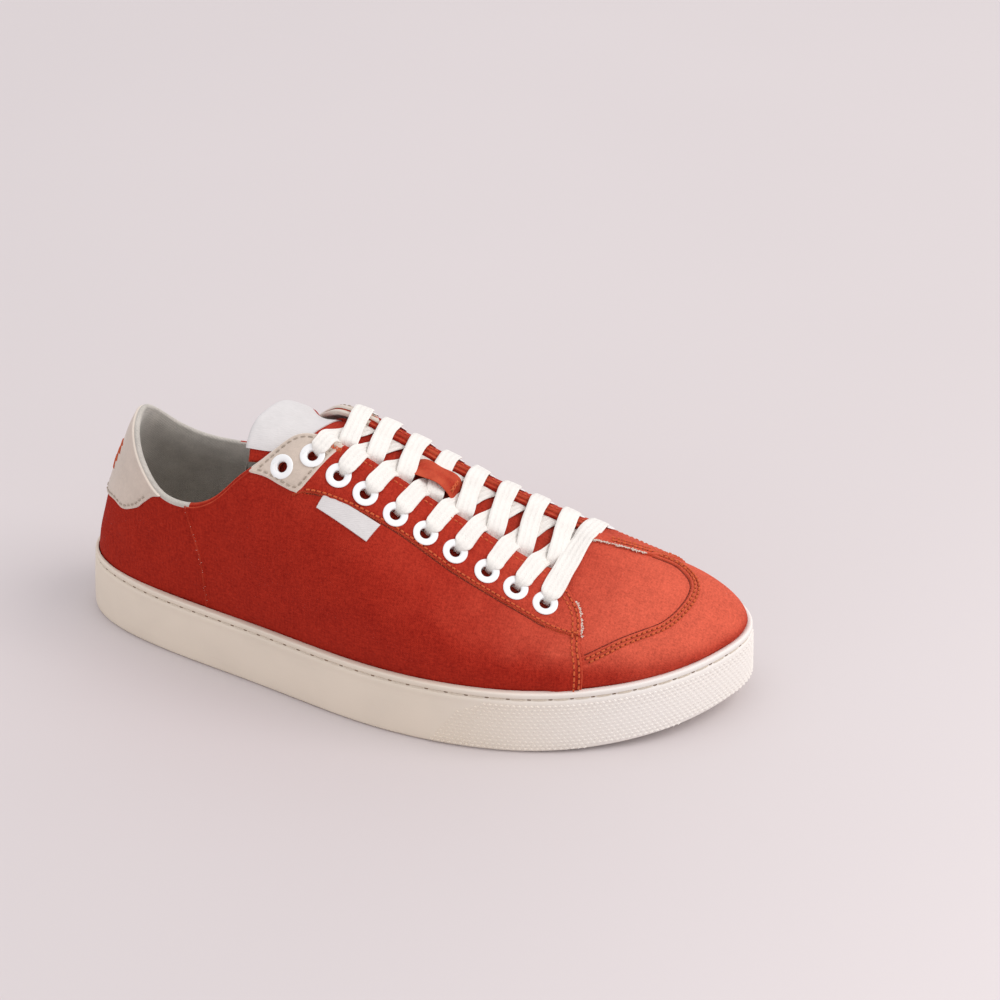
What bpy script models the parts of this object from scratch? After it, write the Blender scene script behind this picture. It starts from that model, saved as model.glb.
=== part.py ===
"""Barefoot sneaker, the right shoe of a pair, standing empty on its sole.

Row frame: +X to the toe, -Y to the outer side of the foot, +Z up, metres.
The origin is under the middle of the shoe at floor level.
"""

import math

import bmesh
import bpy
import numpy as np

MM = 0.001
GAP = 0.3 * MM
FINE_STEPS = 3400

# Sole ------------------------------------------------------------------
WALL_HEIGHT = 28.8 * MM
TOE_SPRING = 10.0 * MM
SPRING_START = 60.0 * MM
SPRING_RUN = 86.0 * MM
RIM_SPRING_SHARE = 0.6
RIM_WIDTH = 4.0 * MM
RIM_ROUND = 0.8 * MM
EDGE_ROUND = 1.5 * MM
CUP_FLOOR = 9.0 * MM
STITCH_GROOVE_DROP = 3.0 * MM
STITCH_GROOVE_WIDTH = 1.6 * MM
STITCH_GROOVE_DEPTH = 0.6 * MM
LUG_DEPTH = 2.0 * MM
LUG_MARGIN = 9.0 * MM
ARCH_MARGIN = 18.0 * MM
SOLE_COLUMNS = 74
INSOLE_COLUMNS = 46

# Plan of the sole, one row per station round the edge, millimetres.
SOLE_PLAN = (
    # station          x       y
    ("heel",        -146.0,    5.7),
    ("heel out",    -136.0,  -13.1),
    ("ankle out",   -100.0,  -28.1),
    ("waist out",    -50.0,  -39.0),
    ("joint out",      0.0,  -49.7),
    ("ball out",      45.0,  -51.0),
    ("little toe",    85.0,  -41.8),
    ("toe out",      121.0,  -22.0),
    ("toe turn out", 140.0,   -1.5),
    ("toe tip",      147.0,   16.5),
    ("toe turn in",  139.5,   34.0),
    ("big toe",      115.0,   46.5),
    ("ball in",       70.0,   50.8),
    ("joint in",      20.0,   49.6),
    ("waist in",     -30.0,   43.0),
    ("ankle in",    -100.0,   40.9),
    ("heel in",     -136.0,   28.5),
)

# Upper -----------------------------------------------------------------
UPPER_WALL = 2.0 * MM
UPPER_COLUMNS = 62
UPPER_RISES = 8
FEATHER_CLEAR = GAP

INSOLE_THICKNESS = 4.0 * MM
INSOLE_CUP = 2.5 * MM
INSOLE_CLEAR = 1.4 * MM
INSOLE_ROUND = 1.0 * MM
INSOLE_LIP = 2.5 * MM
INSOLE_SLOPE = 8.0 * MM
TONGUE_DROP = 3.2 * MM
TONGUE_THICKNESS = 2.5 * MM
OVERLAY_GAP = 0.45 * MM
PATCH_THICKNESS = 1.0 * MM
STAY_THICKNESS = 0.8 * MM
LABEL_THICKNESS = 0.5 * MM

# Eyelets and lace ------------------------------------------------------
BARREL_BORE = 2.4 * MM
BARREL_RADIUS = 2.9 * MM
BARREL_DEPTH = 2.2 * MM
FLANGE_RADIUS = 5.2 * MM
FLANGE_THICKNESS = 0.7 * MM
FLANGE_ROUND = 0.5 * MM
HOLE_RADIUS = 3.6 * MM
HOLE_SIDES = 6
HOLE_DEPTH = 4.5 * MM
HOLE_RISE = 5.0 * MM
PATCH_ROW = 9
EYELET_SIDES = 8
LACE_WIDTH = 8.4 * MM
LACE_THICKNESS = 1.0 * MM
LACE_STOP = 0.10
LACED_ROWS = 9
BAR_LIFT = 3.0 * MM
KEEPER_WIDTH = 9.5 * MM
KEEPER_THICKNESS = 0.9 * MM

# Eyelet centres by section and height on the wall, toe to ankle.
EYELETS = (
    # row  outer_t  outer_v  inner_t  inner_v
    (1,    16.29,   0.775,   22.30,   0.790),
    (2,    15.31,   0.798,   23.08,   0.790),
    (3,    14.58,   0.807,   23.73,   0.790),
    (4,    13.93,   0.815,   24.32,   0.790),
    (5,    13.37,   0.812,   24.88,   0.790),
    (6,    12.80,   0.808,   25.41,   0.790),
    (7,    12.20,   0.814,   25.94,   0.790),
    (8,    11.54,   0.827,   26.56,   0.800),
    (9,    10.68,   0.870,   27.30,   0.860),
    (10,    9.47,   0.841,   28.45,   0.830),
)

# Lower edge of the heel patch, the same both ways from the back seam.
HEEL_PATCH = (
    # t     v_low
    (0.0,   0.43),
    (0.6,   0.41),
    (1.2,   0.45),
    (1.85,  0.51),
    (2.6,   0.555),
    (3.15,  0.67),
    (3.4,   0.79),
    (3.65,  0.91),
    (3.95,  0.98),
)

# Patches beside the mouth: section at the ankle end, at the low corner and
# at the toe end of the mouth, and the heights of the ankle and low corners.
EYELET_PATCHES = (
    # name                   ankle_t  low_t  toe_t  ankle_v  low_v
    ("eyelet_patch_outer",     8.00, 10.20, 11.40,   0.95,  0.675),
    ("eyelet_patch_inner",    29.90, 27.70, 26.75,   0.95,  0.665),
)

# Eyestays: sections at the toe end, low corner and mouth of the ankle end.
EYESTAYS = (
    # name             toe_t  low_t  mouth_t  toe_v  low_v
    ("eyestay_outer",  16.95, 10.34,  11.54,   0.60,  0.680),
    ("eyestay_inner",  21.75, 27.56,  26.61,   0.60,  0.670),
)

# Tongue beyond the throat: middle of each section, reach and fall each way.
TONGUE_TOP = (
    # x      y     z      reach_out  reach_in  fall_out  fall_in  skew
    (-40.0,  4.0,  104.6,   16.5,      16.0,      6.5,      6.5,    3.0),
    (-49.0,  4.5,  106.8,   19.0,      21.5,     10.5,      9.5,    3.5),
    (-57.5,  4.5,  108.6,   19.5,      23.0,     13.0,     11.5,    4.0),
)

# Edge of the mouth, one row per section, heel to toe along the outer side
# and back along the inner side.  "foot" is the station of the sole plan the
# section stands on; lean is outward at the sole, slope is above level at the
# mouth; low and high are the reach of each, millimetres and degrees.
SECTIONS = (
    # foot     x       y      z     lean  low  slope  high
    (0.00, -117.0,    7.0,   98.5,  -10,  22,   62,   22),
    (0.50, -115.3,   -3.0,   95.5,   -9,  21,   64,   21),
    (1.00, -111.5,  -10.5,   89.0,   -6,  19,   70,   20),
    (1.35, -106.5,  -15.5,   82.5,   -3,  17,   74,   19),
    (1.75,  -97.0,  -20.3,   74.8,    2,  16,   78,   18),
    (2.25,  -83.0,  -22.0,   73.5,    4,  17,   78,   18),
    (2.60,  -71.0,  -22.0,   80.3,    5,  20,   74,   20),
    (2.82,  -62.0,  -21.0,   90.0,    5,  24,   64,   22),
    (2.98,  -55.5,  -19.0,   95.5,    5,  27,   50,   22),
    (3.14,  -47.5,  -12.5,  102.0,    5,  30,   36,   23),
    (3.30,  -39.0,   -6.5,  107.0,    5,  33,   24,   24),
    (3.52,  -28.0,   -5.5,  106.6,    5,  35,   21,   25),
    (3.80,  -12.0,   -6.0,  101.2,    4,  35,   22,   26),
    (4.20,   10.0,   -6.0,   89.6,    4,  33,   24,   27),
    (4.65,   33.0,   -6.0,   77.4,    4,  27,   26,   27),
    (5.15,   52.0,   -6.0,   68.0,    4,  21,   27,   27),
    (5.60,   63.0,   -5.5,   62.9,    3,  17,   27,   27),
    (6.20,   69.6,   -3.0,   61.2,    2,  13,   25,   30),
    (7.30,   72.4,    1.0,   62.6,    2,  11,   22,   35),
    (8.80,   74.8,    7.0,   64.6,    3,  11,   20,   38),
    (10.10,  77.2,   13.5,   65.6,    2,  12,   20,   35),
    (11.00,  78.6,   18.6,   65.0,    2,  12,   21,   27),
    (11.55,  76.0,   22.2,   64.6,    3,  14,   22,   20),
    (12.05,  66.0,   22.0,   68.6,    4,  20,   23,   18),
    (12.50,  48.0,   20.0,   76.0,    4,  28,   24,   18),
    (12.95,  25.0,   17.5,   86.0,    4,  32,   24,   18),
    (13.40,   0.0,   15.2,   98.0,    4,  36,   22,   19),
    (13.75, -19.0,   14.6,  105.8,    4,  37,   20,   20),
    (13.95, -30.0,   17.0,  106.8,    4,  36,   28,   21),
    (14.10, -38.5,   23.5,  101.0,    5,  33,   44,   21),
    (14.24, -46.0,   29.3,   93.5,    5,  28,   60,   20),
    (14.40, -54.0,   31.8,   83.0,    5,  23,   72,   19),
    (14.60, -65.0,   32.5,   75.3,    5,  19,   78,   18),
    (14.88, -81.0,   32.6,   72.2,    4,  17,   80,   18),
    (15.15, -96.0,   31.3,   73.4,    2,  16,   78,   18),
    (15.50, -106.5,  27.0,   79.0,   -2,  17,   74,   19),
    (15.95, -113.0,  21.0,   87.5,   -6,  19,   68,   20),
    (16.45, -116.3,  14.5,   94.8,   -9,  21,   64,   21),
)

MATERIALS = {
    # name              colour                   rough  metal
    "canvas":          ((0.50, 0.055, 0.030), 0.85, 0.0),
    "lining":          ((0.42, 0.39, 0.34), 0.90, 0.0),
    "suede":           ((0.50, 0.42, 0.33), 0.90, 0.0),
    "sole_rubber":     ((0.80, 0.74, 0.64), 0.55, 0.0),
    "enamel":          ((0.88, 0.87, 0.85), 0.30, 0.0),
    "cotton":          ((0.86, 0.84, 0.80), 0.85, 0.0),
    "label_satin":     ((0.84, 0.83, 0.80), 0.50, 0.0),
}


def clear_scene():
    for obj in list(bpy.data.objects):
        bpy.data.objects.remove(obj, do_unlink=True)


# Curves ----------------------------------------------------------------
class ClosedCurve:
    """Smooth closed curve through table rows; t counts rows round it."""

    def __init__(self, rows, spacing_columns):
        self.rows = np.asarray(rows, float)
        self.count = len(self.rows)
        ahead = np.roll(self.rows, -1, axis=0)
        reach = (ahead - self.rows)[:, spacing_columns]
        self.step = np.sqrt(np.linalg.norm(reach, axis=1))
        back = np.roll(self.step, 1)
        matrix = np.zeros((self.count, self.count))
        rise = (ahead - self.rows) / self.step[:, None]
        for i in range(self.count):
            matrix[i, i] += 2.0 * (back[i] + self.step[i])
            matrix[i, i - 1] += back[i]
            matrix[i, (i + 1) % self.count] += self.step[i]
        pull = 6.0 * (rise - np.roll(rise, 1, axis=0))
        self.bend = np.linalg.solve(matrix, pull)

    def at(self, t):
        t = np.asarray(t, float) % self.count
        i = np.minimum(np.floor(t).astype(int), self.count - 1)
        j = (i + 1) % self.count
        h = self.step[i][..., None]
        b = (t - i)[..., None]
        a = 1.0 - b
        swing = (a**3 - a) * self.bend[i] + (b**3 - b) * self.bend[j]
        return a * self.rows[i] + b * self.rows[j] + swing * h * h / 6.0


SOLE_EDGE = ClosedCurve([row[1:] for row in SOLE_PLAN], slice(0, 2))
STATIONS = len(SOLE_PLAN)


def unit(v):
    return v / np.maximum(np.linalg.norm(v, axis=-1, keepdims=True), 1e-12)


def sole_edge(t, inset=0.0):
    """Plan point of the sole edge at station t, moved inward by inset."""
    t = np.asarray(t, float)
    d = 0.01
    run = unit(SOLE_EDGE.at(t + d) - SOLE_EDGE.at(t - d))
    inward = np.stack([-run[..., 1], run[..., 0]], axis=-1)
    return SOLE_EDGE.at(t) * MM + inward * inset


def toe_spring(x):
    return TOE_SPRING * np.clip((x - SPRING_START) / SPRING_RUN, 0.0, 1.2) ** 2


def rim_height(x):
    return WALL_HEIGHT + RIM_SPRING_SHARE * toe_spring(x)


def cup_floor(x):
    return CUP_FLOOR + 0.8 * toe_spring(x)


# The share of the way round that a section's foot departs from even spacing
# is smooth and closed, so it is carried as one more column.
def section_curve():
    rows = []
    for i, row in enumerate(SECTIONS):
        even = STATIONS * i / len(SECTIONS)
        rows.append((row[1], row[2], row[3], row[0] - even) + row[4:])
    return ClosedCurve(rows, slice(0, 3))


SECTION = section_curve()
SECTION_COUNT = len(SECTIONS)


def section(t):
    """Feather point, two reach points and mouth point of the section at t."""
    t = np.asarray(t, float)
    row = SECTION.at(t)
    foot_t = row[..., 3] + STATIONS * (t % SECTION_COUNT) / SECTION_COUNT
    plan = sole_edge(foot_t, RIM_WIDTH + FEATHER_CLEAR)
    foot = np.concatenate([plan, rim_height(plan[..., :1])], axis=-1)
    mouth = row[..., 0:3] * MM
    inward = np.zeros_like(foot)
    inward[..., :2] = unit(mouth[..., :2] - foot[..., :2])
    up = np.array([0.0, 0.0, 1.0])
    lean = np.radians(row[..., 4:5])
    slope = np.radians(row[..., 6:7])
    low = foot + (up * np.cos(lean) - inward * np.sin(lean)) * row[..., 5:6] * MM
    high = mouth - (inward * np.cos(slope) + up * np.sin(slope)) * row[..., 7:8] * MM
    return foot, low, high, mouth


def wall_point(t, v):
    """Point on the outside of the upper: t sections round, v from sole to mouth.

    Below v = 0 the wall runs straight down inside the cup of the sole.
    """
    t, v = np.broadcast_arrays(np.asarray(t, float), np.asarray(v, float))
    foot, low, high, mouth = section(t)
    s = np.clip(v, 0.0, None)[..., None]
    r = 1.0 - s
    point = r**3 * foot + 3 * r * r * s * low + 3 * r * s * s * high + s**3 * mouth
    floor = cup_floor(foot[..., 0]) + GAP
    drop = np.clip(-v, 0.0, 1.0) * (foot[..., 2] - floor)
    point[..., 2] -= drop
    return point


def wall_normal(t, v):
    t, v = np.broadcast_arrays(np.asarray(t, float), np.asarray(v, float))
    d = 0.02
    top = np.minimum(v + d, 1.0)
    along = wall_point(t + d, v) - wall_point(t - d, v)
    rise = wall_point(t, top) - wall_point(t, v - d)
    return unit(np.cross(along, rise))


def on_wall(t, v, lift):
    return wall_point(t, v) + wall_normal(t, v) * np.asarray(lift)[..., None]


def even_columns(count):
    """Section positions that share out sole edge and mouth edge evenly."""
    t = np.linspace(0.0, SECTION_COUNT, FINE_STEPS + 1)
    foot, _, _, mouth = section(t)
    step = np.linalg.norm(np.diff(foot, axis=0), axis=1)
    step = step + np.linalg.norm(np.diff(mouth, axis=0), axis=1)
    run = np.concatenate([[0.0], np.cumsum(step)])
    return np.interp(np.linspace(0.0, run[-1], count, endpoint=False), run, t)


# Meshes ----------------------------------------------------------------
def material(name):
    found = bpy.data.materials.get(name)
    if found:
        return found
    colour, rough, metal = MATERIALS[name]
    made = bpy.data.materials.new(name)
    made.use_nodes = True
    shader = made.node_tree.nodes["Principled BSDF"]
    shader.inputs["Base Color"].default_value = (*colour, 1.0)
    shader.inputs["Roughness"].default_value = rough
    shader.inputs["Metallic"].default_value = metal
    return made


def add_object(name, points, faces, material_name, sharp_deg=35.0):
    mesh = bpy.data.meshes.new(name)
    mesh.from_pydata([tuple(p) for p in points], [], faces)
    bm = bmesh.new()
    bm.from_mesh(mesh)
    bmesh.ops.remove_doubles(bm, verts=bm.verts, dist=1e-7)
    bmesh.ops.recalc_face_normals(bm, faces=bm.faces)
    bm.to_mesh(mesh)
    bm.free()
    mesh.materials.append(material(material_name))
    mesh.shade_smooth()
    mesh.set_sharp_from_angle(angle=math.radians(sharp_deg))
    obj = bpy.data.objects.new(name, mesh)
    bpy.context.scene.collection.objects.link(obj)
    return obj


def ring_faces(ring_count, per_ring, closed_rings):
    """Quads between neighbouring closed rings of points."""
    faces = []
    last = ring_count if closed_rings else ring_count - 1
    for r in range(last):
        a = r * per_ring
        b = ((r + 1) % ring_count) * per_ring
        for k in range(per_ring):
            n = (k + 1) % per_ring
            faces.append((a + k, a + n, b + n, b + k))
    return faces


def tube_solid(name, rings, material_name, sharp_deg=35.0):
    """Solid swept by closed loops that themselves close round a ring."""
    per_ring = len(rings[0])
    faces = ring_faces(len(rings), per_ring, True)
    points = np.concatenate(rings)
    return add_object(name, points, faces, material_name, sharp_deg)


def sheet_solid(name, upper, lower, material_name, sharp_deg=40.0):
    """Solid between two grids of points of the same shape."""
    rows, cols = upper.shape[:2]
    size = rows * cols
    points = np.concatenate([upper.reshape(-1, 3), lower.reshape(-1, 3)])
    faces = []
    for i in range(rows - 1):
        for j in range(cols - 1):
            a = i * cols + j
            quad = (a, a + 1, a + cols + 1, a + cols)
            faces.append(quad)
            faces.append(tuple(size + q for q in reversed(quad)))
    edge = list(range(cols))
    edge += [i * cols + cols - 1 for i in range(1, rows)]
    edge += [(rows - 1) * cols + j for j in range(cols - 2, -1, -1)]
    edge += [i * cols for i in range(rows - 2, 0, -1)]
    for a, b in zip(edge, edge[1:] + edge[:1]):
        faces.append((b, a, size + a, size + b))
    return add_object(name, points, faces, material_name, sharp_deg)


# Sole ------------------------------------------------------------------
def paired_stations(columns):
    """Stations round the sole whose two sides share the same x in pairs."""
    half = columns // 2
    t = np.linspace(0.0, STATIONS, FINE_STEPS + 1)
    x = SOLE_EDGE.at(t)[:, 0]
    tip = int(np.argmax(x))
    tail = int(np.argmin(np.where(t < STATIONS / 4, x, 0.0)))
    angle = np.linspace(0.0, math.pi, half + 1)
    want = 0.5 * (x[tip] + x[tail]) - 0.5 * (x[tip] - x[tail]) * np.cos(angle)
    out = np.interp(want, x[tail:tip + 1], t[tail:tip + 1])
    inner_t = np.concatenate([t[tip:], STATIONS + t[1:tail + 1]])
    inner_x = np.concatenate([x[tip:], x[1:tail + 1]])
    back = np.interp(-want[::-1], -inner_x, inner_t)
    return np.concatenate([out, back[1:-1]])


def capped_stack(name, rings, material_name, sharp_deg=35.0):
    """Solid of stacked rings, its ends closed by strips across the pairs."""
    per_ring = len(rings[0])
    faces = ring_faces(len(rings), per_ring, False)
    top = (len(rings) - 1) * per_ring
    half = per_ring // 2
    for base in (0, top):
        for k in range(half):
            far = (per_ring - k) % per_ring
            strip = [base + k, base + k + 1, base + far - 1, base + far]
            if k == 0:
                strip = [base, base + 1, base + per_ring - 1]
            elif k == half - 1:
                strip = [base + k, base + k + 1, base + far]
            faces.append(strip)
    return add_object(name, np.concatenate(rings), faces, material_name, sharp_deg)


def sole_ring(t, inset, height):
    plan = sole_edge(t, inset)
    return np.concatenate([plan, height(plan[:, :1])], axis=1)


def box_points(centre, half, turn=0.0):
    c, s = math.cos(turn), math.sin(turn)
    points = []
    for dz in (-1, 1):
        for dx, dy in ((-1, -1), (1, -1), (1, 1), (-1, 1)):
            x, y = dx * half[0], dy * half[1]
            points.append((centre[0] + c * x - s * y, centre[1] + s * x + c * y,
                           centre[2] + dz * half[2]))
    return points


BOX_FACES = ((0, 3, 2, 1), (4, 5, 6, 7), (0, 1, 5, 4), (1, 2, 6, 5),
             (2, 3, 7, 6), (3, 0, 4, 7))


def add_cutter(name, points, faces):
    cutter = add_object(name, points, faces, "sole_rubber")
    cutter.hide_render = True
    cutter.display_type = "WIRE"
    return cutter


def cut(obj, cutter):
    tool = obj.modifiers.new("cut_" + cutter.name, "BOOLEAN")
    tool.operation = "DIFFERENCE"
    tool.solver = "EXACT"
    tool.object = cutter


CHANNEL_HALF = 1.6
ARCH_HALF = 22.0
# Channels between the lugs and the hollow under the arch, millimetres.
LUG_CHANNELS = (
    # x       half_x
    (-112.0,  CHANNEL_HALF),
    (-92.0,   CHANNEL_HALF),
    (-34.0,   ARCH_HALF),
    (8.0,     CHANNEL_HALF),
    (28.0,    CHANNEL_HALF),
    (48.0,    CHANNEL_HALF),
    (68.0,    CHANNEL_HALF),
    (88.0,    CHANNEL_HALF),
    (107.0,   CHANNEL_HALF),
)


def build_sole():
    t = paired_stations(SOLE_COLUMNS)
    edge = EDGE_ROUND
    groove_top = STITCH_GROOVE_DROP - STITCH_GROOVE_WIDTH / 2
    groove_foot = STITCH_GROOVE_DROP + STITCH_GROOVE_WIDTH / 2
    profile = (
        (edge, lambda x: toe_spring(x)),
        (edge * 0.3, lambda x: toe_spring(x) + edge * 0.3),
        (0.0, lambda x: toe_spring(x) + edge),
        (0.0, lambda x: rim_height(x) - groove_foot),
        (STITCH_GROOVE_DEPTH, lambda x: rim_height(x) - STITCH_GROOVE_DROP),
        (0.0, lambda x: rim_height(x) - groove_top),
        (0.0, lambda x: rim_height(x) - RIM_ROUND),
        (RIM_ROUND, lambda x: rim_height(x)),
        (RIM_WIDTH, lambda x: rim_height(x)),
        (RIM_WIDTH, lambda x: cup_floor(x)),
    )
    rings = [sole_ring(t, inset, height) for inset, height in profile]
    sole = capped_stack("sole", rings, "sole_rubber")
    points = []
    faces = []
    edge_plan = sole_edge(np.linspace(0.0, STATIONS, FINE_STEPS + 1))
    for x_mm, half_x in LUG_CHANNELS:
        x = x_mm * MM
        near = np.abs(edge_plan[:, 0] - x) < 2 * MM
        margin = ARCH_MARGIN if half_x == ARCH_HALF else LUG_MARGIN
        low = edge_plan[near, 1].min() + margin
        high = edge_plan[near, 1].max() - margin
        centre = (x, (low + high) / 2, toe_spring(x) - LUG_DEPTH)
        half = (half_x * MM, (high - low) / 2, 2 * LUG_DEPTH)
        base = len(points)
        points += box_points(centre, half)
        faces += [tuple(base + q for q in face) for face in BOX_FACES]
    cut(sole, add_cutter("lug_channels", points, faces))
    return sole


def build_insole():
    t = paired_stations(INSOLE_COLUMNS)
    inset = RIM_WIDTH + FEATHER_CLEAR + UPPER_WALL + INSOLE_CLEAR
    rise = INSOLE_THICKNESS + INSOLE_CUP
    profile = (
        (inset + INSOLE_ROUND, lambda x: cup_floor(x) + GAP),
        (inset, lambda x: cup_floor(x) + GAP + INSOLE_ROUND),
        (inset, lambda x: cup_floor(x) + GAP + rise),
        (inset + INSOLE_LIP, lambda x: cup_floor(x) + GAP + rise),
        (inset + INSOLE_SLOPE, lambda x: cup_floor(x) + GAP + INSOLE_THICKNESS),
    )
    rings = [sole_ring(t, step, height) for step, height in profile]
    return capped_stack("insole", rings, "lining")


# Upper -----------------------------------------------------------------
def build_upper():
    t = even_columns(UPPER_COLUMNS)
    v = np.concatenate([[-1.0, -0.12], np.linspace(0.0, 1.0, UPPER_RISES)])
    tt, vv = np.meshgrid(t, v)
    outside = wall_point(tt, vv)
    inside = outside - wall_normal(tt, vv) * UPPER_WALL
    inside[0, :, 2] = outside[0, :, 2]
    rings = list(outside) + list(inside[::-1])
    return tube_solid("upper", rings, "canvas")


def eyelet_spots():
    """Name, section, height and lift of the eyelet seat for each eyelet."""
    spots = []
    for row, outer_t, outer_v, inner_t, inner_v in EYELETS:
        proud = PATCH_THICKNESS if row >= PATCH_ROW else STAY_THICKNESS
        lift = OVERLAY_GAP + proud + GAP
        spots.append(("eyelet_outer_%d" % row, outer_t, outer_v, lift))
        spots.append(("eyelet_inner_%d" % row, inner_t, inner_v, lift))
    return spots


def eyelet_frame(t, v):
    centre = wall_point(t, v)
    axis = wall_normal(t, v)
    side = unit(np.cross(axis, np.array([0.0, 0.0, 1.0])))
    return centre, axis, side, np.cross(axis, side)


def turned_rings(frame, profile, sides):
    """Loops of a turned profile of (radius, height) pairs round a frame."""
    centre, axis, side, rise = frame
    loops = []
    for k in range(sides):
        angle = 2.0 * math.pi * k / sides
        out = side * math.cos(angle) + rise * math.sin(angle)
        loops.append(np.array([centre + out * r + axis * h for r, h in profile]))
    return loops


def build_eyelets():
    made = []
    for name, t, v, lift in eyelet_spots():
        top = lift + FLANGE_THICKNESS
        profile = (
            (BARREL_BORE, -BARREL_DEPTH),
            (BARREL_RADIUS, -BARREL_DEPTH),
            (BARREL_RADIUS, lift),
            (FLANGE_RADIUS, lift),
            (FLANGE_RADIUS - FLANGE_ROUND, top),
            (BARREL_BORE, top),
        )
        loops = turned_rings(eyelet_frame(t, v), profile, EYELET_SIDES)
        made.append(tube_solid(name, loops, "enamel"))
    return made


def eyelet_hole_cutter():
    points = []
    faces = []
    sides = HOLE_SIDES
    for _, t, v, _ in eyelet_spots():
        profile = ((HOLE_RADIUS, -HOLE_DEPTH), (HOLE_RADIUS, HOLE_RISE))
        loops = turned_rings(eyelet_frame(t, v), profile, sides)
        base = len(points)
        for loop in loops:
            points += [tuple(p) for p in loop]
        for k in range(sides):
            n = (k + 1) % sides
            faces.append((base + 2 * k, base + 2 * n,
                          base + 2 * n + 1, base + 2 * k + 1))
        faces.append(tuple(base + 2 * k for k in range(sides - 1, -1, -1)))
        faces.append(tuple(base + 2 * k + 1 for k in range(sides)))
    return add_cutter("eyelet_holes", points, faces)


# Overlays --------------------------------------------------------------
def overlay(name, t, v, thickness, material_name):
    """Sheet laid on the outside of the upper over a grid of t and v."""
    outer = on_wall(t, v, np.full(t.shape, OVERLAY_GAP + thickness))
    inner = on_wall(t, v, np.full(t.shape, OVERLAY_GAP))
    return sheet_solid(name, outer, inner, material_name)


def build_heel_patch():
    table = np.array(HEEL_PATCH)
    t = np.linspace(-table[-1, 0], table[-1, 0], 19)
    low = np.interp(np.abs(t), table[:, 0], table[:, 1])
    share = np.linspace(0.0, 1.0, 4)[:, None]
    v = low[None, :] + (0.995 - low[None, :]) * share
    tt = np.broadcast_to(t[None, :], v.shape)
    return overlay("heel_patch", tt, v, PATCH_THICKNESS, "suede")


def build_eyelet_patches():
    made = []
    for name, ankle_t, low_t, toe_t, ankle_v, low_v in EYELET_PATCHES:
        a = np.linspace(0.0, 1.0, 8)[None, :]
        b = np.linspace(0.0, 1.0, 5)[:, None]
        toe_side = low_t + (toe_t - low_t) * b
        t = ankle_t + (toe_side - ankle_t) * a
        v_low = ankle_v + (low_v - ankle_v) * a
        v = v_low + (0.995 - v_low) * b
        made.append(overlay(name, t, v, PATCH_THICKNESS, "suede"))
    return made


def build_eyestays():
    made = []
    for name, toe_t, low_t, mouth_t, toe_v, low_v in EYESTAYS:
        a = np.linspace(0.0, 1.0, 14)[None, :]
        b = np.linspace(0.0, 1.0, 5)[:, None]
        ankle_side = low_t + (mouth_t - low_t) * b
        t = ankle_side + (toe_t - ankle_side) * a
        v_low = low_v + (toe_v - low_v) * a**4
        v = v_low + (0.995 - v_low) * b
        made.append(overlay(name, t, v, STAY_THICKNESS, "canvas"))
    return made


# Side label: sections at its two ends and heights of its low and high edge.
SIDE_LABEL = (
    # t       v_low   v_high
    (11.05,   0.625,  0.675),
    (12.45,   0.595,  0.675),
)


def build_side_label():
    (t0, low0, high0), (t1, low1, high1) = SIDE_LABEL
    a = np.linspace(0.0, 1.0, 6)[None, :]
    b = np.linspace(0.0, 1.0, 3)[:, None]
    t = (t0 + (t1 - t0) * a) * np.ones_like(b)
    low = low0 + (low1 - low0) * a
    high = high0 + (high1 - high0) * a
    v = low + (high - low) * b
    return overlay("side_label", t, v, LABEL_THICKNESS, "label_satin")


# Tongue ----------------------------------------------------------------
def across_throat(outer_t, inner_t, w):
    """Smooth bridge from the outer mouth edge (w 0) to the inner (w 1)."""
    _, _, high_o, mouth_o = section(outer_t)
    _, _, high_i, mouth_i = section(inner_t)
    reach = 0.35 * np.linalg.norm(mouth_i - mouth_o, axis=-1, keepdims=True)
    a = mouth_o + unit(mouth_o - high_o) * reach
    b = mouth_i + unit(mouth_i - high_i) * reach
    w = np.asarray(w, float)[..., None]
    u = 1.0 - w
    return u**3 * mouth_o + 3 * u * u * w * a + 3 * u * w * w * b + w**3 * mouth_i


THROAT_PAIRS = (
    # outer_t  inner_t
    (16.90,    21.30),
    (16.20,    22.20),
    (15.20,    23.00),
    (14.25,    23.95),
    (13.37,    24.80),
    (12.50,    25.60),
    (11.65,    26.45),
    (10.90,    27.10),
)
WING_HEIGHTS = (0.72, 0.83, 0.94)
BRIDGE_SHARES = (0.1, 0.3, 0.5, 0.7, 0.9)


def tongue_base():
    """Grid on the line of the instep, toe to top, and its drop below it."""
    rows = []
    for outer_t, inner_t in THROAT_PAIRS:
        row = [wall_point(outer_t, v) for v in WING_HEIGHTS]
        row += [across_throat(outer_t, inner_t, w) for w in BRIDGE_SHARES]
        row += [wall_point(inner_t, v) for v in reversed(WING_HEIGHTS)]
        rows.append(np.array(row))
    forward = rows[0] + (rows[0] - rows[1]) * 0.55
    rows.insert(0, forward)
    drop = [TONGUE_DROP + 1.2 * MM] + [TONGUE_DROP] * len(THROAT_PAIRS)
    share = np.linspace(-1.0, 1.0, rows[0].shape[0])
    for x, y, z, reach_out, reach_in, fall_out, fall_in, skew in TONGUE_TOP:
        reach = np.where(share < 0, reach_out, reach_in)
        fall = np.where(share < 0, fall_out, fall_in)
        arch = np.abs(share) ** 2.4
        row = np.stack([x + skew * share, y + reach * share, z - fall * arch], axis=1)
        rows.append(row * MM)
        drop.append(0.0)
    return np.array(rows), np.array(drop)


def grid_normals(grid):
    down = np.gradient(grid, axis=0)
    over = np.gradient(grid, axis=1)
    normal = unit(np.cross(over, down))
    return normal * np.sign(normal[..., 2:3])


def build_tongue():
    base, drop = tongue_base()
    normal = grid_normals(base)
    top = base - normal * drop[:, None, None]
    under = top - normal * TONGUE_THICKNESS
    return sheet_solid("tongue", top, under, "canvas")


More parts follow.
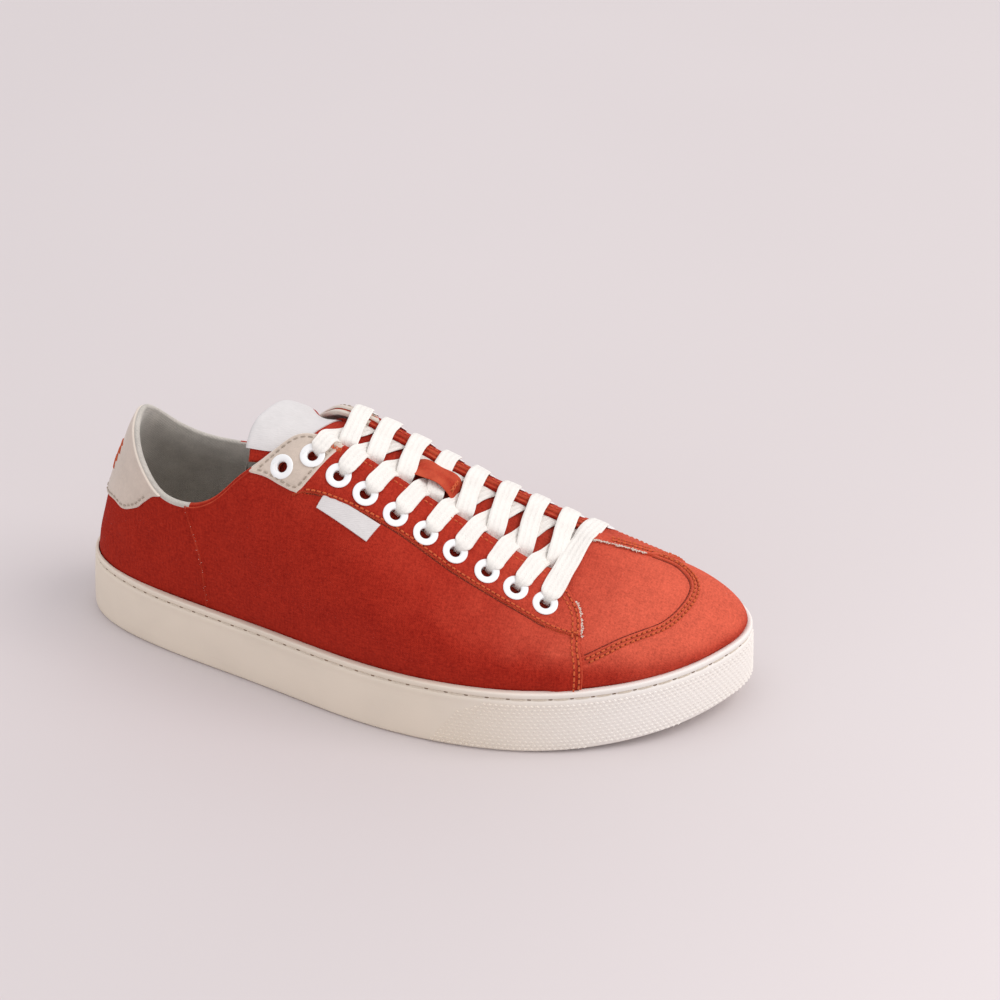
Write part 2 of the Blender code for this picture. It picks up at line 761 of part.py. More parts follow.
def build_tongue_label():
    base, drop = tongue_base()
    normal = grid_normals(base)
    top = base - normal * drop[:, None, None]
    rows = top[-3:, 2:9]
    up = normal[-3:, 2:9]
    outer = rows + up * (OVERLAY_GAP + LABEL_THICKNESS)
    inner = rows + up * OVERLAY_GAP
    return sheet_solid("tongue_label", outer, inner, "label_satin")


# Lace ------------------------------------------------------------------
THROAT_UP = unit(np.array([0.47, 0.0, 0.88]))
CROSSING_SHARES = (0.17, 0.38, 0.62, 0.88)
UNDER_LIFTS = (-1.2, -0.2, 0.9, 2.0, 2.9, 2.5)
OVER_LIFTS = (-1.2, 0.5, 1.9, 2.5, 2.9, 2.5)


def strip_solid(name, path, across, width, thickness, material_name):
    """Flat band along a path; across gives its width direction."""
    path = np.asarray(path)
    run = unit(np.gradient(path, axis=0))
    side = unit(across - run * np.sum(across * run, axis=1, keepdims=True))
    up = unit(np.cross(run, side))
    up = up * np.sign(up[:, 2:3])
    w = side * width / 2
    h = up * thickness / 2
    rows = np.stack([path - w, path + w], axis=1)
    return sheet_solid(name, rows + h[:, None], rows - h[:, None], material_name)


def lace_band(name, path, up):
    across = np.cross(up, unit(np.gradient(path, axis=0)))
    return strip_solid(name, path, across, LACE_WIDTH, LACE_THICKNESS, "cotton")


def crossing_band(name, start_t, end_t, start_side, lifts, end_v):
    """Band from below one mouth edge across to the top of the far facing."""
    shares = np.array(CROSSING_SHARES)
    n = len(shares)
    if start_side == "outer":
        bridge = across_throat(np.full(n, start_t), np.full(n, end_t), shares)
    else:
        bridge = across_throat(np.full(n, end_t), np.full(n, start_t), 1.0 - shares)
    facing = wall_point(np.full(2, end_t), np.array([1.0, end_v]))
    path = np.concatenate([bridge, facing])
    up = np.tile(THROAT_UP, (len(path), 1))
    up[-1] = wall_normal(end_t, end_v)
    up[-2] = unit(up[-3] + up[-1])
    return lace_band(name, path + up * np.asarray(lifts)[:, None] * MM, up)


def bar_band(name, row):
    """Straight bar of the lace over the foot of the throat."""
    _, outer_t, outer_v, inner_t, inner_v = row
    shares = np.array([0.08, 0.36, 0.64, 0.92])
    bridge = across_throat(np.full(4, outer_t), np.full(4, inner_t), shares)
    outer = wall_point(np.full(2, outer_t), np.array([outer_v + LACE_STOP, 1.0]))
    inner = wall_point(np.full(2, inner_t), np.array([1.0, inner_v + LACE_STOP]))
    path = np.concatenate([outer, bridge, inner])
    up = np.tile(THROAT_UP, (len(path), 1))
    up[0] = wall_normal(outer_t, outer_v + LACE_STOP)
    up[-1] = wall_normal(inner_t, inner_v + LACE_STOP)
    up[1] = unit(up[0] + up[2])
    up[-2] = unit(up[-1] + up[-3])
    return lace_band(name, path + up * BAR_LIFT, up)


def crossing(low, high, over_name, under_name):
    """The two bands that cross between one row of eyelets and the next."""
    _, low_outer, _, low_inner, _ = low
    _, high_outer, outer_v, high_inner, inner_v = high
    over = crossing_band(over_name, low_outer, high_inner, "outer",
                         OVER_LIFTS, inner_v + LACE_STOP)
    under = crossing_band(under_name, low_inner, high_outer, "inner",
                          UNDER_LIFTS, outer_v + LACE_STOP)
    return [over, under]


def joined(bands):
    """The bands as one solid, under the first one's name."""
    for band in bands[1:]:
        join = bands[0].modifiers.new(band.name, "BOOLEAN")
        join.operation = "UNION"
        join.solver = "EXACT"
        join.object = band
        band.hide_render = True
        band.display_type = "WIRE"
    return bands[0]


def build_lace():
    """Bar and crossings in one solid; the top crossing stands clear of them."""
    bands = [bar_band("lace", EYELETS[0])]
    laced = EYELETS[:LACED_ROWS]
    for low, high in zip(laced[:-2], laced[1:-1]):
        k = low[0]
        bands += crossing(low, high, "lace_over_%d" % k, "lace_under_%d" % k)
    joined(bands)
    joined(crossing(laced[-2], laced[-1], "lace_top", "lace_top_under"))


# Keeper loop along the middle of the throat, toe to ankle.
KEEPER = (
    # x      lift
    (25.0,    3.1),
    (23.0,    4.2),
    (19.0,    4.6),
    (14.5,    4.6),
    (10.5,    4.2),
    (8.5,     3.1),
)


def build_lace_keeper():
    """Loop of the tongue's cloth that holds the lace at the fifth crossing."""
    x, lift = (np.array(column) * MM for column in zip(*KEEPER))
    outer_t, inner_t = (np.array(column) for column in zip(*THROAT_PAIRS))
    middle = across_throat(outer_t, inner_t, np.full(len(outer_t), 0.5))
    path = np.stack([np.interp(-x, -middle[:, 0], middle[:, k]) for k in range(3)], axis=1)
    path = path + THROAT_UP * lift[:, None]
    across = np.tile(np.array([0.0, 1.0, 0.0]), (len(x), 1))
    return strip_solid("lace_keeper", path, across, KEEPER_WIDTH, KEEPER_THICKNESS, "canvas")


def main():
    clear_scene()
    build_sole()
    build_insole()
    upper = build_upper()
    build_tongue()
    build_tongue_label()
    build_heel_patch()
    patches = build_eyelet_patches()
    stays = build_eyestays()
    build_side_label()
    build_eyelets()
    holes = eyelet_hole_cutter()
    for piece in [upper] + patches + stays:
        cut(piece, holes)
    build_lace()
    build_lace_keeper()


main()
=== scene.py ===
import math

import bmesh
import bpy
import numpy as np
from mathutils import Matrix, Vector


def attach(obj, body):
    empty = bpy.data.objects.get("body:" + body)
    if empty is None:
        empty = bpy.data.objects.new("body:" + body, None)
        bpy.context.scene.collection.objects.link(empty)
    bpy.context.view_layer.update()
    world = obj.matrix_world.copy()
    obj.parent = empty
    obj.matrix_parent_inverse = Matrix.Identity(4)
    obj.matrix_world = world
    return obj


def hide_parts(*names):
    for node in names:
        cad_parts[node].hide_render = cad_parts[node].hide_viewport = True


bl_info = {
    "name": "Barefoot sneaker",
    "version": (1, 0, 0),
    "blender": (4, 5, 0),
    "location": "3D View > Sidebar > Sneaker",
    "description": "Builds the seen surfaces of a low canvas barefoot sneaker",
    "category": "Object",
}

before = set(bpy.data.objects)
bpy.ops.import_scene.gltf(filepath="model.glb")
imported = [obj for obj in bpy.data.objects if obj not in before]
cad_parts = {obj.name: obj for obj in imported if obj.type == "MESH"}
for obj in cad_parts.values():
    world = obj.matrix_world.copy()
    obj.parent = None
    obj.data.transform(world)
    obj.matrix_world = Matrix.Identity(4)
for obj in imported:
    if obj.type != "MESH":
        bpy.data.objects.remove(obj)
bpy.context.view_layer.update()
MM = 0.001

# Shape shared with the solid model -------------------------------------
WALL_HEIGHT = 28.8 * MM
TOE_SPRING = 10.0 * MM
SPRING_START = 60.0 * MM
SPRING_RUN = 86.0 * MM
RIM_SPRING_SHARE = 0.6
RIM_WIDTH = 4.0 * MM
CUP_FLOOR = 9.0 * MM
CUP_SPRING_SHARE = 0.8
GAP = 0.3 * MM

# Plan of the sole edge from the heel along the outer side, millimetres.
SOLE_PLAN = (
    (-146.0, 5.7), (-136.0, -13.1), (-100.0, -28.1), (-50.0, -39.0), (0.0, -49.7),
    (45.0, -51.0), (85.0, -41.8), (121.0, -22.0), (140.0, -1.5), (147.0, 16.5),
    (139.5, 34.0), (115.0, 46.5), (70.0, 50.8), (20.0, 49.6), (-30.0, 43.0),
    (-100.0, 40.9), (-136.0, 28.5),
)

# Sections of the upper, heel to toe along the outer side and back along the
# inner side.  "foot" is the station of the sole plan; lean is outward at the
# sole, slope is above level at the mouth; low and high are their reach.
SECTIONS = (
    # foot, mouth x, y, z, lean, low, slope, high
    (0.00, -117.0, 7.0, 98.5, -10, 22, 62, 22),
    (0.50, -115.3, -3.0, 95.5, -9, 21, 64, 21),
    (1.00, -111.5, -10.5, 89.0, -6, 19, 70, 20),
    (1.35, -106.5, -15.5, 82.5, -3, 17, 74, 19),
    (1.75, -97.0, -20.3, 74.8, 2, 16, 78, 18),
    (2.25, -83.0, -22.0, 73.5, 4, 17, 78, 18),
    (2.60, -71.0, -22.0, 80.3, 5, 20, 74, 20),
    (2.82, -62.0, -21.0, 90.0, 5, 24, 64, 22),
    (2.98, -55.5, -19.0, 95.5, 5, 27, 50, 22),
    (3.14, -47.5, -12.5, 102.0, 5, 30, 36, 23),
    (3.30, -39.0, -6.5, 107.0, 5, 33, 24, 24),
    (3.52, -28.0, -5.5, 106.6, 5, 35, 21, 25),
    (3.80, -12.0, -6.0, 101.2, 4, 35, 22, 26),
    (4.20, 10.0, -6.0, 89.6, 4, 33, 24, 27),
    (4.65, 33.0, -6.0, 77.4, 4, 27, 26, 27),
    (5.15, 52.0, -6.0, 68.0, 4, 21, 27, 27),
    (5.60, 63.0, -5.5, 62.9, 3, 17, 27, 27),
    (6.20, 69.6, -3.0, 61.2, 2, 13, 25, 30),
    (7.30, 72.4, 1.0, 62.6, 2, 11, 22, 35),
    (8.80, 74.8, 7.0, 64.6, 3, 11, 20, 38),
    (10.10, 77.2, 13.5, 65.6, 2, 12, 20, 35),
    (11.00, 78.6, 18.6, 65.0, 2, 12, 21, 27),
    (11.55, 76.0, 22.2, 64.6, 3, 14, 22, 20),
    (12.05, 66.0, 22.0, 68.6, 4, 20, 23, 18),
    (12.50, 48.0, 20.0, 76.0, 4, 28, 24, 18),
    (12.95, 25.0, 17.5, 86.0, 4, 32, 24, 18),
    (13.40, 0.0, 15.2, 98.0, 4, 36, 22, 19),
    (13.75, -19.0, 14.6, 105.8, 4, 37, 20, 20),
    (13.95, -30.0, 17.0, 106.8, 4, 36, 28, 21),
    (14.10, -38.5, 23.5, 101.0, 5, 33, 44, 21),
    (14.24, -46.0, 29.3, 93.5, 5, 28, 60, 20),
    (14.40, -54.0, 31.8, 83.0, 5, 23, 72, 19),
    (14.60, -65.0, 32.5, 75.3, 5, 19, 78, 18),
    (14.88, -81.0, 32.6, 72.2, 4, 17, 80, 18),
    (15.15, -96.0, 31.3, 73.4, 2, 16, 78, 18),
    (15.50, -106.5, 27.0, 79.0, -2, 17, 74, 19),
    (15.95, -113.0, 21.0, 87.5, -6, 19, 68, 20),
    (16.45, -116.3, 14.5, 94.8, -9, 21, 64, 21),
)

# Eyelet centres, toe to ankle: row, then section and height on each side.
EYELETS = (
    (1, 16.29, 0.775, 22.30, 0.790), (2, 15.31, 0.798, 23.08, 0.790),
    (3, 14.58, 0.807, 23.73, 0.790), (4, 13.93, 0.815, 24.32, 0.790),
    (5, 13.37, 0.812, 24.88, 0.790), (6, 12.80, 0.808, 25.41, 0.790),
    (7, 12.20, 0.814, 25.94, 0.790), (8, 11.54, 0.827, 26.56, 0.800),
    (9, 10.68, 0.870, 27.30, 0.860), (10, 9.47, 0.841, 28.45, 0.830),
)
PATCH_ROW = 9
LACED_ROWS = 9
# How far the tongue's arch over the throat follows the facings, as a share of its width.
ARCH_REACH = 0.20

# Where the tongue rides under each pair of facings, toe to ankle.
THROAT_PAIRS = (
    (16.90, 21.30), (16.20, 22.20), (15.20, 23.00), (14.25, 23.95),
    (13.37, 24.80), (12.50, 25.60), (11.65, 26.45), (10.90, 27.10),
)

# Tongue beyond the throat: middle x, y, z, reach out and in, fall out and in, skew.
TONGUE_TOP = (
    (-40.0, 4.0, 104.6, 16.5, 16.0, 6.5, 6.5, 3.0),
    (-49.0, 4.5, 106.8, 19.0, 21.5, 10.5, 7.8, 3.5),
    (-57.5, 4.5, 108.6, 19.5, 23.0, 13.0, 9.5, 4.0),
)


class ClosedCurve:
    """Smooth closed curve through table rows; t counts rows round it."""

    def __init__(self, rows, spacing_columns):
        self.rows = np.asarray(rows, float)
        self.count = len(self.rows)
        ahead = np.roll(self.rows, -1, axis=0)
        reach = (ahead - self.rows)[:, spacing_columns]
        self.step = np.sqrt(np.linalg.norm(reach, axis=1))
        back = np.roll(self.step, 1)
        matrix = np.zeros((self.count, self.count))
        rise = (ahead - self.rows) / self.step[:, None]
        for i in range(self.count):
            matrix[i, i] += 2.0 * (back[i] + self.step[i])
            matrix[i, i - 1] += back[i]
            matrix[i, (i + 1) % self.count] += self.step[i]
        self.bend = np.linalg.solve(matrix, 6.0 * (rise - np.roll(rise, 1, axis=0)))

    def at(self, t):
        t = np.asarray(t, float) % self.count
        i = np.minimum(np.floor(t).astype(int), self.count - 1)
        j = (i + 1) % self.count
        h = self.step[i][..., None]
        b = (t - i)[..., None]
        a = 1.0 - b
        swing = (a**3 - a) * self.bend[i] + (b**3 - b) * self.bend[j]
        return a * self.rows[i] + b * self.rows[j] + swing * h * h / 6.0


SOLE_EDGE = ClosedCurve(SOLE_PLAN, slice(0, 2))
STATIONS = len(SOLE_PLAN)
SECTION_COUNT = len(SECTIONS)
SECTION = ClosedCurve([row[1:4] + (row[0] - STATIONS * i / SECTION_COUNT,) + row[4:]
                       for i, row in enumerate(SECTIONS)], slice(0, 3))


def unit(v):
    return v / np.maximum(np.linalg.norm(v, axis=-1, keepdims=True), 1e-12)


def ramp(x, low, high):
    """Smooth rise from 0 at low to 1 at high."""
    s = np.clip((x - low) / (high - low), 0.0, 1.0)
    return s * s * (3.0 - 2.0 * s)


def sole_edge(t, inset=0.0):
    """Plan point of the sole edge at station t, moved inward by inset."""
    t = np.asarray(t, float)
    run = unit(SOLE_EDGE.at(t + 0.01) - SOLE_EDGE.at(t - 0.01))
    inward = np.stack([-run[..., 1], run[..., 0]], axis=-1)
    return SOLE_EDGE.at(t) * MM + inward * inset


def toe_spring(x):
    return TOE_SPRING * np.clip((x - SPRING_START) / SPRING_RUN, 0.0, 1.2) ** 2


def rim_height(x):
    return WALL_HEIGHT + RIM_SPRING_SHARE * toe_spring(x)


def cup_floor(x):
    return CUP_FLOOR + CUP_SPRING_SHARE * toe_spring(x)


def section(t):
    """Feather point, two reach points and mouth point of the section at t."""
    t = np.asarray(t, float)
    row = SECTION.at(t)
    foot_t = row[..., 3] + STATIONS * (t % SECTION_COUNT) / SECTION_COUNT
    plan = sole_edge(foot_t, RIM_WIDTH + GAP)
    foot = np.concatenate([plan, rim_height(plan[..., :1])], axis=-1)
    mouth = row[..., 0:3] * MM
    inward = np.zeros_like(foot)
    inward[..., :2] = unit(mouth[..., :2] - foot[..., :2])
    up = np.array([0.0, 0.0, 1.0])
    lean = np.radians(row[..., 4:5])
    slope = np.radians(row[..., 6:7])
    low = foot + (up * np.cos(lean) - inward * np.sin(lean)) * row[..., 5:6] * MM
    high = mouth - (inward * np.cos(slope) + up * np.sin(slope)) * row[..., 7:8] * MM
    return foot, low, high, mouth


def cubic(points, s):
    """Point at share s of the way along a cubic from its four points."""
    first, second, third, last = points
    r = 1.0 - s
    return r**3 * first + 3 * r * r * s * second + 3 * r * s * s * third + s**3 * last


def wall_point(t, v):
    """Point on the outside of the upper: t sections round, v from sole to mouth."""
    t, v = np.broadcast_arrays(np.asarray(t, float), np.asarray(v, float))
    shape = section(t)
    foot = shape[0]
    point = cubic(shape, np.clip(v, 0.0, None)[..., None])
    point[..., 2] -= np.clip(-v, 0.0, 1.0) * (foot[..., 2] - (cup_floor(foot[..., 0]) + GAP))
    return point


def wall_normal(t, v):
    t, v = np.broadcast_arrays(np.asarray(t, float), np.asarray(v, float))
    d = 0.02
    along = wall_point(t + d, v) - wall_point(t - d, v)
    rise = wall_point(t, np.minimum(v + d, 1.0)) - wall_point(t, v - d)
    return unit(np.cross(along, rise))


def across_throat(outer_t, inner_t, w):
    """Smooth bridge from the outer mouth edge (w 0) to the inner (w 1)."""
    _, _, high_o, mouth_o = section(outer_t)
    _, _, high_i, mouth_i = section(inner_t)
    reach = ARCH_REACH * np.linalg.norm(mouth_i - mouth_o, axis=-1, keepdims=True)
    a = mouth_o + unit(mouth_o - high_o) * reach
    b = mouth_i + unit(mouth_i - high_i) * reach
    return cubic((mouth_o, a, b, mouth_i), np.asarray(w, float)[..., None])


def smooth_path(rows, count):
    """Points of a smooth open curve through the rows, count of them."""
    rows = np.asarray(rows, float)
    ends = 2 * rows[[0, -1]] - rows[[1, -2]]
    p = np.concatenate([ends[:1], rows, ends[1:]])
    s = np.linspace(0, len(rows) - 1, count)
    i = np.minimum(s.astype(int), len(rows) - 2)
    f = (s - i).reshape((-1,) + (1,) * (rows.ndim - 1))
    a, b, c, d = p[i], p[i + 1], p[i + 2], p[i + 3]
    return 0.5 * (2 * b + (c - a) * f + (2 * a - 5 * b + 4 * c - d) * f**2
                  + (3 * b - a - 3 * c + d) * f**3)


def lengths(points):
    """Running length along a line of points."""
    step = np.linalg.norm(np.diff(points, axis=0), axis=-1)
    return np.concatenate([[0.0], np.cumsum(step)])


def read_off(at, run, *lines):
    """Value of each line where its running length is at."""
    return [np.interp(at, run, line) for line in lines]


def clustered(count):
    """Shares from 0 to 1 that crowd towards both ends."""
    return 0.5 - 0.5 * np.cos(np.linspace(0.0, math.pi, count))


# Heights of the cloth's unevenness, whose waves run over some centimetres.
SLOW_WAVE = 0.22 * MM
QUICK_WAVE = 0.10 * MM
# Soft troughs that wear and lacing press into the cloth: ends by section and
# height, depth and half width in millimetres; a negative depth is a ridge.
CREASES = (
    (18.62, 0.77, 18.92, 0.60, 0.55, 1.5), (18.35, 0.85, 18.55, 0.70, 0.30, 2.4),
    (20.10, 0.80, 20.40, 0.62, 0.35, 2.6), (17.75, 0.70, 17.45, 0.52, 0.35, 2.8),
    (16.40, 0.42, 15.90, 0.15, 0.45, 4.0), (15.60, 0.52, 15.10, 0.22, 0.40, 5.0),
    (13.90, 0.50, 12.60, 0.30, 0.40, 5.0), (11.20, 0.48, 12.30, 0.34, 0.40, 4.0),
    (8.10, 0.86, 8.70, 0.56, 0.70, 5.0), (7.20, 0.78, 7.90, 0.48, 0.55, 4.5),
    (6.20, 0.62, 6.90, 0.43, 0.45, 3.6), (6.90, 0.40, 8.20, 0.28, 0.35, 4.0),
    (5.80, 0.80, 6.30, 0.65, 0.35, 3.0), (3.60, 0.48, 4.70, 0.36, 0.40, 4.0),
    (1.90, 0.33, 3.10, 0.25, 0.35, 4.0), (9.80, 0.56, 9.50, 0.34, -0.35, 6.0),
    (30.20, 0.80, 29.50, 0.56, 0.60, 5.0), (31.10, 0.68, 30.40, 0.45, 0.45, 4.0),
    (27.00, 0.48, 25.60, 0.32, 0.40, 5.0), (23.60, 0.48, 22.90, 0.25, 0.40, 4.5),
    (34.40, 0.42, 33.20, 0.32, 0.35, 4.0), (21.10, 0.72, 21.35, 0.54, 0.35, 2.6),
)


def crease_path(t0, v0, t1, v1, depth, width):
    share = np.linspace(0.0, 1.0, 6)
    path = wall_point(t0 + (t1 - t0) * share, v0 + (v1 - v0) * share)
    return path, depth * MM, width * MM


CREASE_PATHS = [crease_path(*row) for row in CREASES]


def relief(point):
    """How far the creases and a slow unevenness move the cloth outward."""
    flat = point.reshape(-1, 3)
    x, y, z = flat.T / MM
    total = SLOW_WAVE * np.sin(x / 9.0 + 1.3 * np.sin(z / 14.0)) * np.sin(z / 10.0 + y / 16.0)
    total += QUICK_WAVE * np.sin(x / 3.7 + y / 5.1) * np.sin(z / 4.3 + x / 11.0)
    for path, depth, width in CREASE_PATHS:
        best = np.zeros(len(flat))
        last = len(path) - 1
        for k in range(last):
            run = path[k + 1] - path[k]
            s = np.clip((flat - path[k]) @ run / (run @ run), 0.0, 1.0)
            apart = np.sum((flat - path[k] - s[:, None] * run) ** 2, axis=1)
            fade = np.sin(np.pi * (k + s) / last)
            best = np.maximum(best, fade * np.exp(-apart / width**2))
        total -= depth * best
    return total.reshape(point.shape[:-1])


def cloth(t, v, lift=0.0):
    """Point on the creased outside of the upper, raised by lift."""
    point = wall_point(t, v)
    return point + wall_normal(t, v) * (relief(point) + lift)[..., None]


# Meshes ----------------------------------------------------------------
# A shape is its points and faces, and where the cloth's grain matters, also
# each point's distance from a free edge and run along the cloth.
# Angle in degrees from which an edge stays sharp.
SHARP = 40.0
# Rings of a short thread: shares of its length, swell, and lifts in radii.
THREAD_SHARES = np.array([0.0, 0.16, 0.5, 0.84, 1.0])
THREAD_SWELL = (0.55, 0.95, 1.0, 0.95, 0.55)
THREAD_LIFTS = (-0.9, 0.4, 0.7, 0.4, -0.9)
NEEDLE_HOLE_LIFTS = (-0.5, -0.1, 0.0, -0.1, -0.5)
LOOSE_YARN_LIFTS = (-0.5, 1.0, 1.6, 1.0, 0.0)
SOLE_THREAD_LIFTS = (-0.8, 0.1, 0.25, 0.1, -0.8)
AWL_HOLE_LIFTS = (-0.3, 0.0, 0.1, 0.0, -0.3)


def grid_faces(rows, cols, close_rows=False, close_cols=False):
    """Quads over a grid of points stored row by row."""
    i = np.arange(rows if close_rows else rows - 1)[:, None]
    j = np.arange(cols if close_cols else cols - 1)[None, :]
    a = i * cols + j
    b = i * cols + (j + 1) % cols
    below = (i + 1) % rows * cols
    quads = np.stack([a, b, below + (j + 1) % cols, below + j], axis=-1)
    return quads.reshape(-1, 4).tolist()


def tube_faces(rings, sides):
    """Faces of a closed tube of rings."""
    last = (rings - 1) * sides
    caps = [list(range(sides)), list(range(last + sides - 1, last - 1, -1))]
    return grid_faces(rings, sides, close_cols=True) + caps


def tube_points(centre, side, up, radius, sides):
    """Rings of points round the centres, in the plane of side and up."""
    angle = 2.0 * math.pi * np.arange(sides) / sides
    ring = side[..., None, :] * np.cos(angle)[:, None] + up[..., None, :] * np.sin(angle)[:, None]
    return centre[..., None, :] + ring * radius[..., None, None]


def closed_sheet(top, under):
    """Solid between two grids of the same shape."""
    rows, cols = top.shape[:2]
    size = rows * cols
    points = np.concatenate([top.reshape(-1, 3), under.reshape(-1, 3)])
    faces = grid_faces(rows, cols)
    faces += [[size + q for q in reversed(face)] for face in faces]
    edge = list(range(cols))
    edge += [i * cols + cols - 1 for i in range(1, rows)]
    edge += [(rows - 1) * cols + j for j in range(cols - 2, -1, -1)]
    edge += [i * cols for i in range(rows - 2, 0, -1)]
    for a, b in zip(edge, edge[1:] + edge[:1]):
        faces.append([b, a, size + a, size + b])
    return points, faces


def merged(parts):
    """Several shapes as one."""
    points, faces, places = [], [], []
    base = 0
    for some, made, *place in parts:
        points.append(np.asarray(some).reshape(-1, 3))
        faces += [[base + q for q in face] for face in made]
        places += place
        base += len(points[-1])
    shape = (np.concatenate(points), faces)
    return shape + (np.concatenate(places),) if places else shape


def repeated(points, faces):
    """Shape of equal small solids, one for each row of points."""
    size = int(np.prod(points.shape[1:-1]))
    return points.reshape(-1, 3), [[size * k + q for q in face]
                                   for k in range(len(points)) for face in faces]


def linked(name, data):
    made = bpy.data.objects.new(name, data)
    bpy.context.scene.collection.objects.link(made)
    return made


def solid_mesh(name, points, faces):
    """Mesh whose faces all look outward."""
    mesh = bpy.data.meshes.new(name)
    mesh.from_pydata(np.asarray(points).reshape(-1, 3).tolist(), [], faces)
    bm = bmesh.new()
    bm.from_mesh(mesh)
    bmesh.ops.recalc_face_normals(bm, faces=bm.faces)
    bm.to_mesh(mesh)
    bm.free()
    return mesh


def fixed(piece, nodes):
    """Let a piece ride on the shoe, for the solids it stands for."""
    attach(piece, "root")
    if nodes:
        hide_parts(*nodes)
    return piece


def build_piece(name, shape, *finishes, nodes=(), which=None, sharp=SHARP):
    """Smooth piece of the shoe; which numbers the finish of each face."""
    points, faces, *place = shape
    mesh = solid_mesh(name, points, faces)
    for finish in finishes:
        mesh.materials.append(finish_for(finish))
    if which is not None:
        mesh.polygons.foreach_set("material_index", np.asarray(which, np.int32))
    if place:
        layer = mesh.uv_layers.new(name="cloth")
        corner = np.zeros(len(mesh.loops), np.int32)
        mesh.loops.foreach_get("vertex_index", corner)
        layer.data.foreach_set("uv", np.asarray(place[0], np.float32)[corner].ravel())
    mesh.shade_smooth()
    mesh.set_sharp_from_angle(angle=math.radians(sharp))
    return fixed(linked(name, mesh), nodes)


def cut(pieces, tool):
    """Cut a tool out of the pieces and remove it."""
    for piece in pieces:
        step = piece.modifiers.new("cut", "BOOLEAN")
        step.solver = "EXACT"
        step.object = tool
        depsgraph = bpy.context.evaluated_depsgraph_get()
        made = bpy.data.meshes.new_from_object(piece.evaluated_get(depsgraph))
        piece.modifiers.remove(step)
        piece.data = made
        made.set_sharp_from_angle(angle=math.radians(SHARP))
    bpy.data.objects.remove(tool, do_unlink=True)


def paired_stations(columns):
    """Stations round the sole whose two sides share the same x in pairs."""
    t = np.linspace(0.0, STATIONS, 3401)
    x = SOLE_EDGE.at(t)[:, 0]
    tip = int(np.argmax(x))
    tail = int(np.argmin(np.where(t < STATIONS / 4, x, 0.0)))
    angle = np.linspace(0.0, math.pi, columns // 2 + 1)
    want = 0.5 * (x[tip] + x[tail]) - 0.5 * (x[tip] - x[tail]) * np.cos(angle)
    out = np.interp(want, x[tail:tip + 1], t[tail:tip + 1])
    inner_t = np.concatenate([t[tip:], STATIONS + t[1:tail + 1]])
    inner_x = np.concatenate([x[tip:], x[1:tail + 1]])
    back = np.interp(-want[::-1], -inner_x, inner_t)
    return np.concatenate([out, back[1:-1]])


def capped_stack(rings):
    """Solid of stacked rings, its ends closed by strips across the pairs."""
    per_ring = len(rings[0])
    faces = grid_faces(len(rings), per_ring, close_cols=True)
    last = per_ring // 2 - 1
    for base in (0, (len(rings) - 1) * per_ring):
        for k in range(last + 1):
            far = (per_ring - k) % per_ring
            strip = [base + k, base + k + 1, base + far - 1, base + far]
            if k == 0:
                strip = [base, base + 1, base + per_ring - 1]
            elif k == last:
                strip = [base + k, base + k + 1, base + far]
            faces.append(strip)
    return np.concatenate(rings), faces


def thread_bits(starts, ends, normals, radius, sides=6, lifts=THREAD_LIFTS):
    """Short arched lengths of thread, one from each start to its end."""
    starts, ends, normals = (np.asarray(a, float) for a in (starts, ends, normals))
    run = unit(ends - starts)
    side = unit(np.cross(normals, run))
    up = np.cross(run, side)
    rise = radius * np.tile(lifts, (len(starts), 1))
    centre = (starts[:, None] + (ends - starts)[:, None] * THREAD_SHARES[:, None]
              + up[:, None] * rise[..., None])
    thick = radius * np.tile(THREAD_SWELL, (len(starts), 1))
    points = tube_points(centre, side[:, None], up[:, None], thick, sides)
    return repeated(points, tube_faces(len(THREAD_SHARES), sides))


def swept_cord(path, radius, sides=8):
    """Round cord along a path, tapered shut at both ends."""
    run = unit(np.gradient(path, axis=0))
    side = unit(np.cross(run, np.array([0.31, 0.17, 0.93])))
    radius = np.full(len(path), radius)
    radius[[0, -1]] *= 0.3
    points = tube_points(path, side, np.cross(run, side), radius, sides)
    return points.reshape(-1, 3), tube_faces(len(path), sides)


# Finishes --------------------------------------------------------------
YARN_PITCH = 0.85 * MM
RIB_PITCH = 2.2 * MM


class Wire:
    """A socket of a finish that sums can be written on."""

    def __init__(self, finish, socket):
        self.finish = finish
        self.socket = socket

    def maths(self, operation, *values):
        return self.finish.node("ShaderNodeMath", {"operation": operation}, dict(enumerate(values)))

    def __add__(self, other):
        return self.maths("ADD", self, other)

    def __sub__(self, other):
        return self.maths("SUBTRACT", self, other)

    def __rsub__(self, other):
        return self.maths("SUBTRACT", other, self)

    def __mul__(self, other):
        return self.maths("MULTIPLY", self, other)

    __radd__ = __add__
    __rmul__ = __mul__

    def sine(self):
        return self.maths("SINE", self)

    def rise(self, low, high):
        """Smooth rise from 0 where this is low to 1 where it is high."""
        return self.finish.node("ShaderNodeMapRange", {"interpolation_type": "SMOOTHSTEP"},
                                {"Value": self, "From Min": low, "From Max": high})


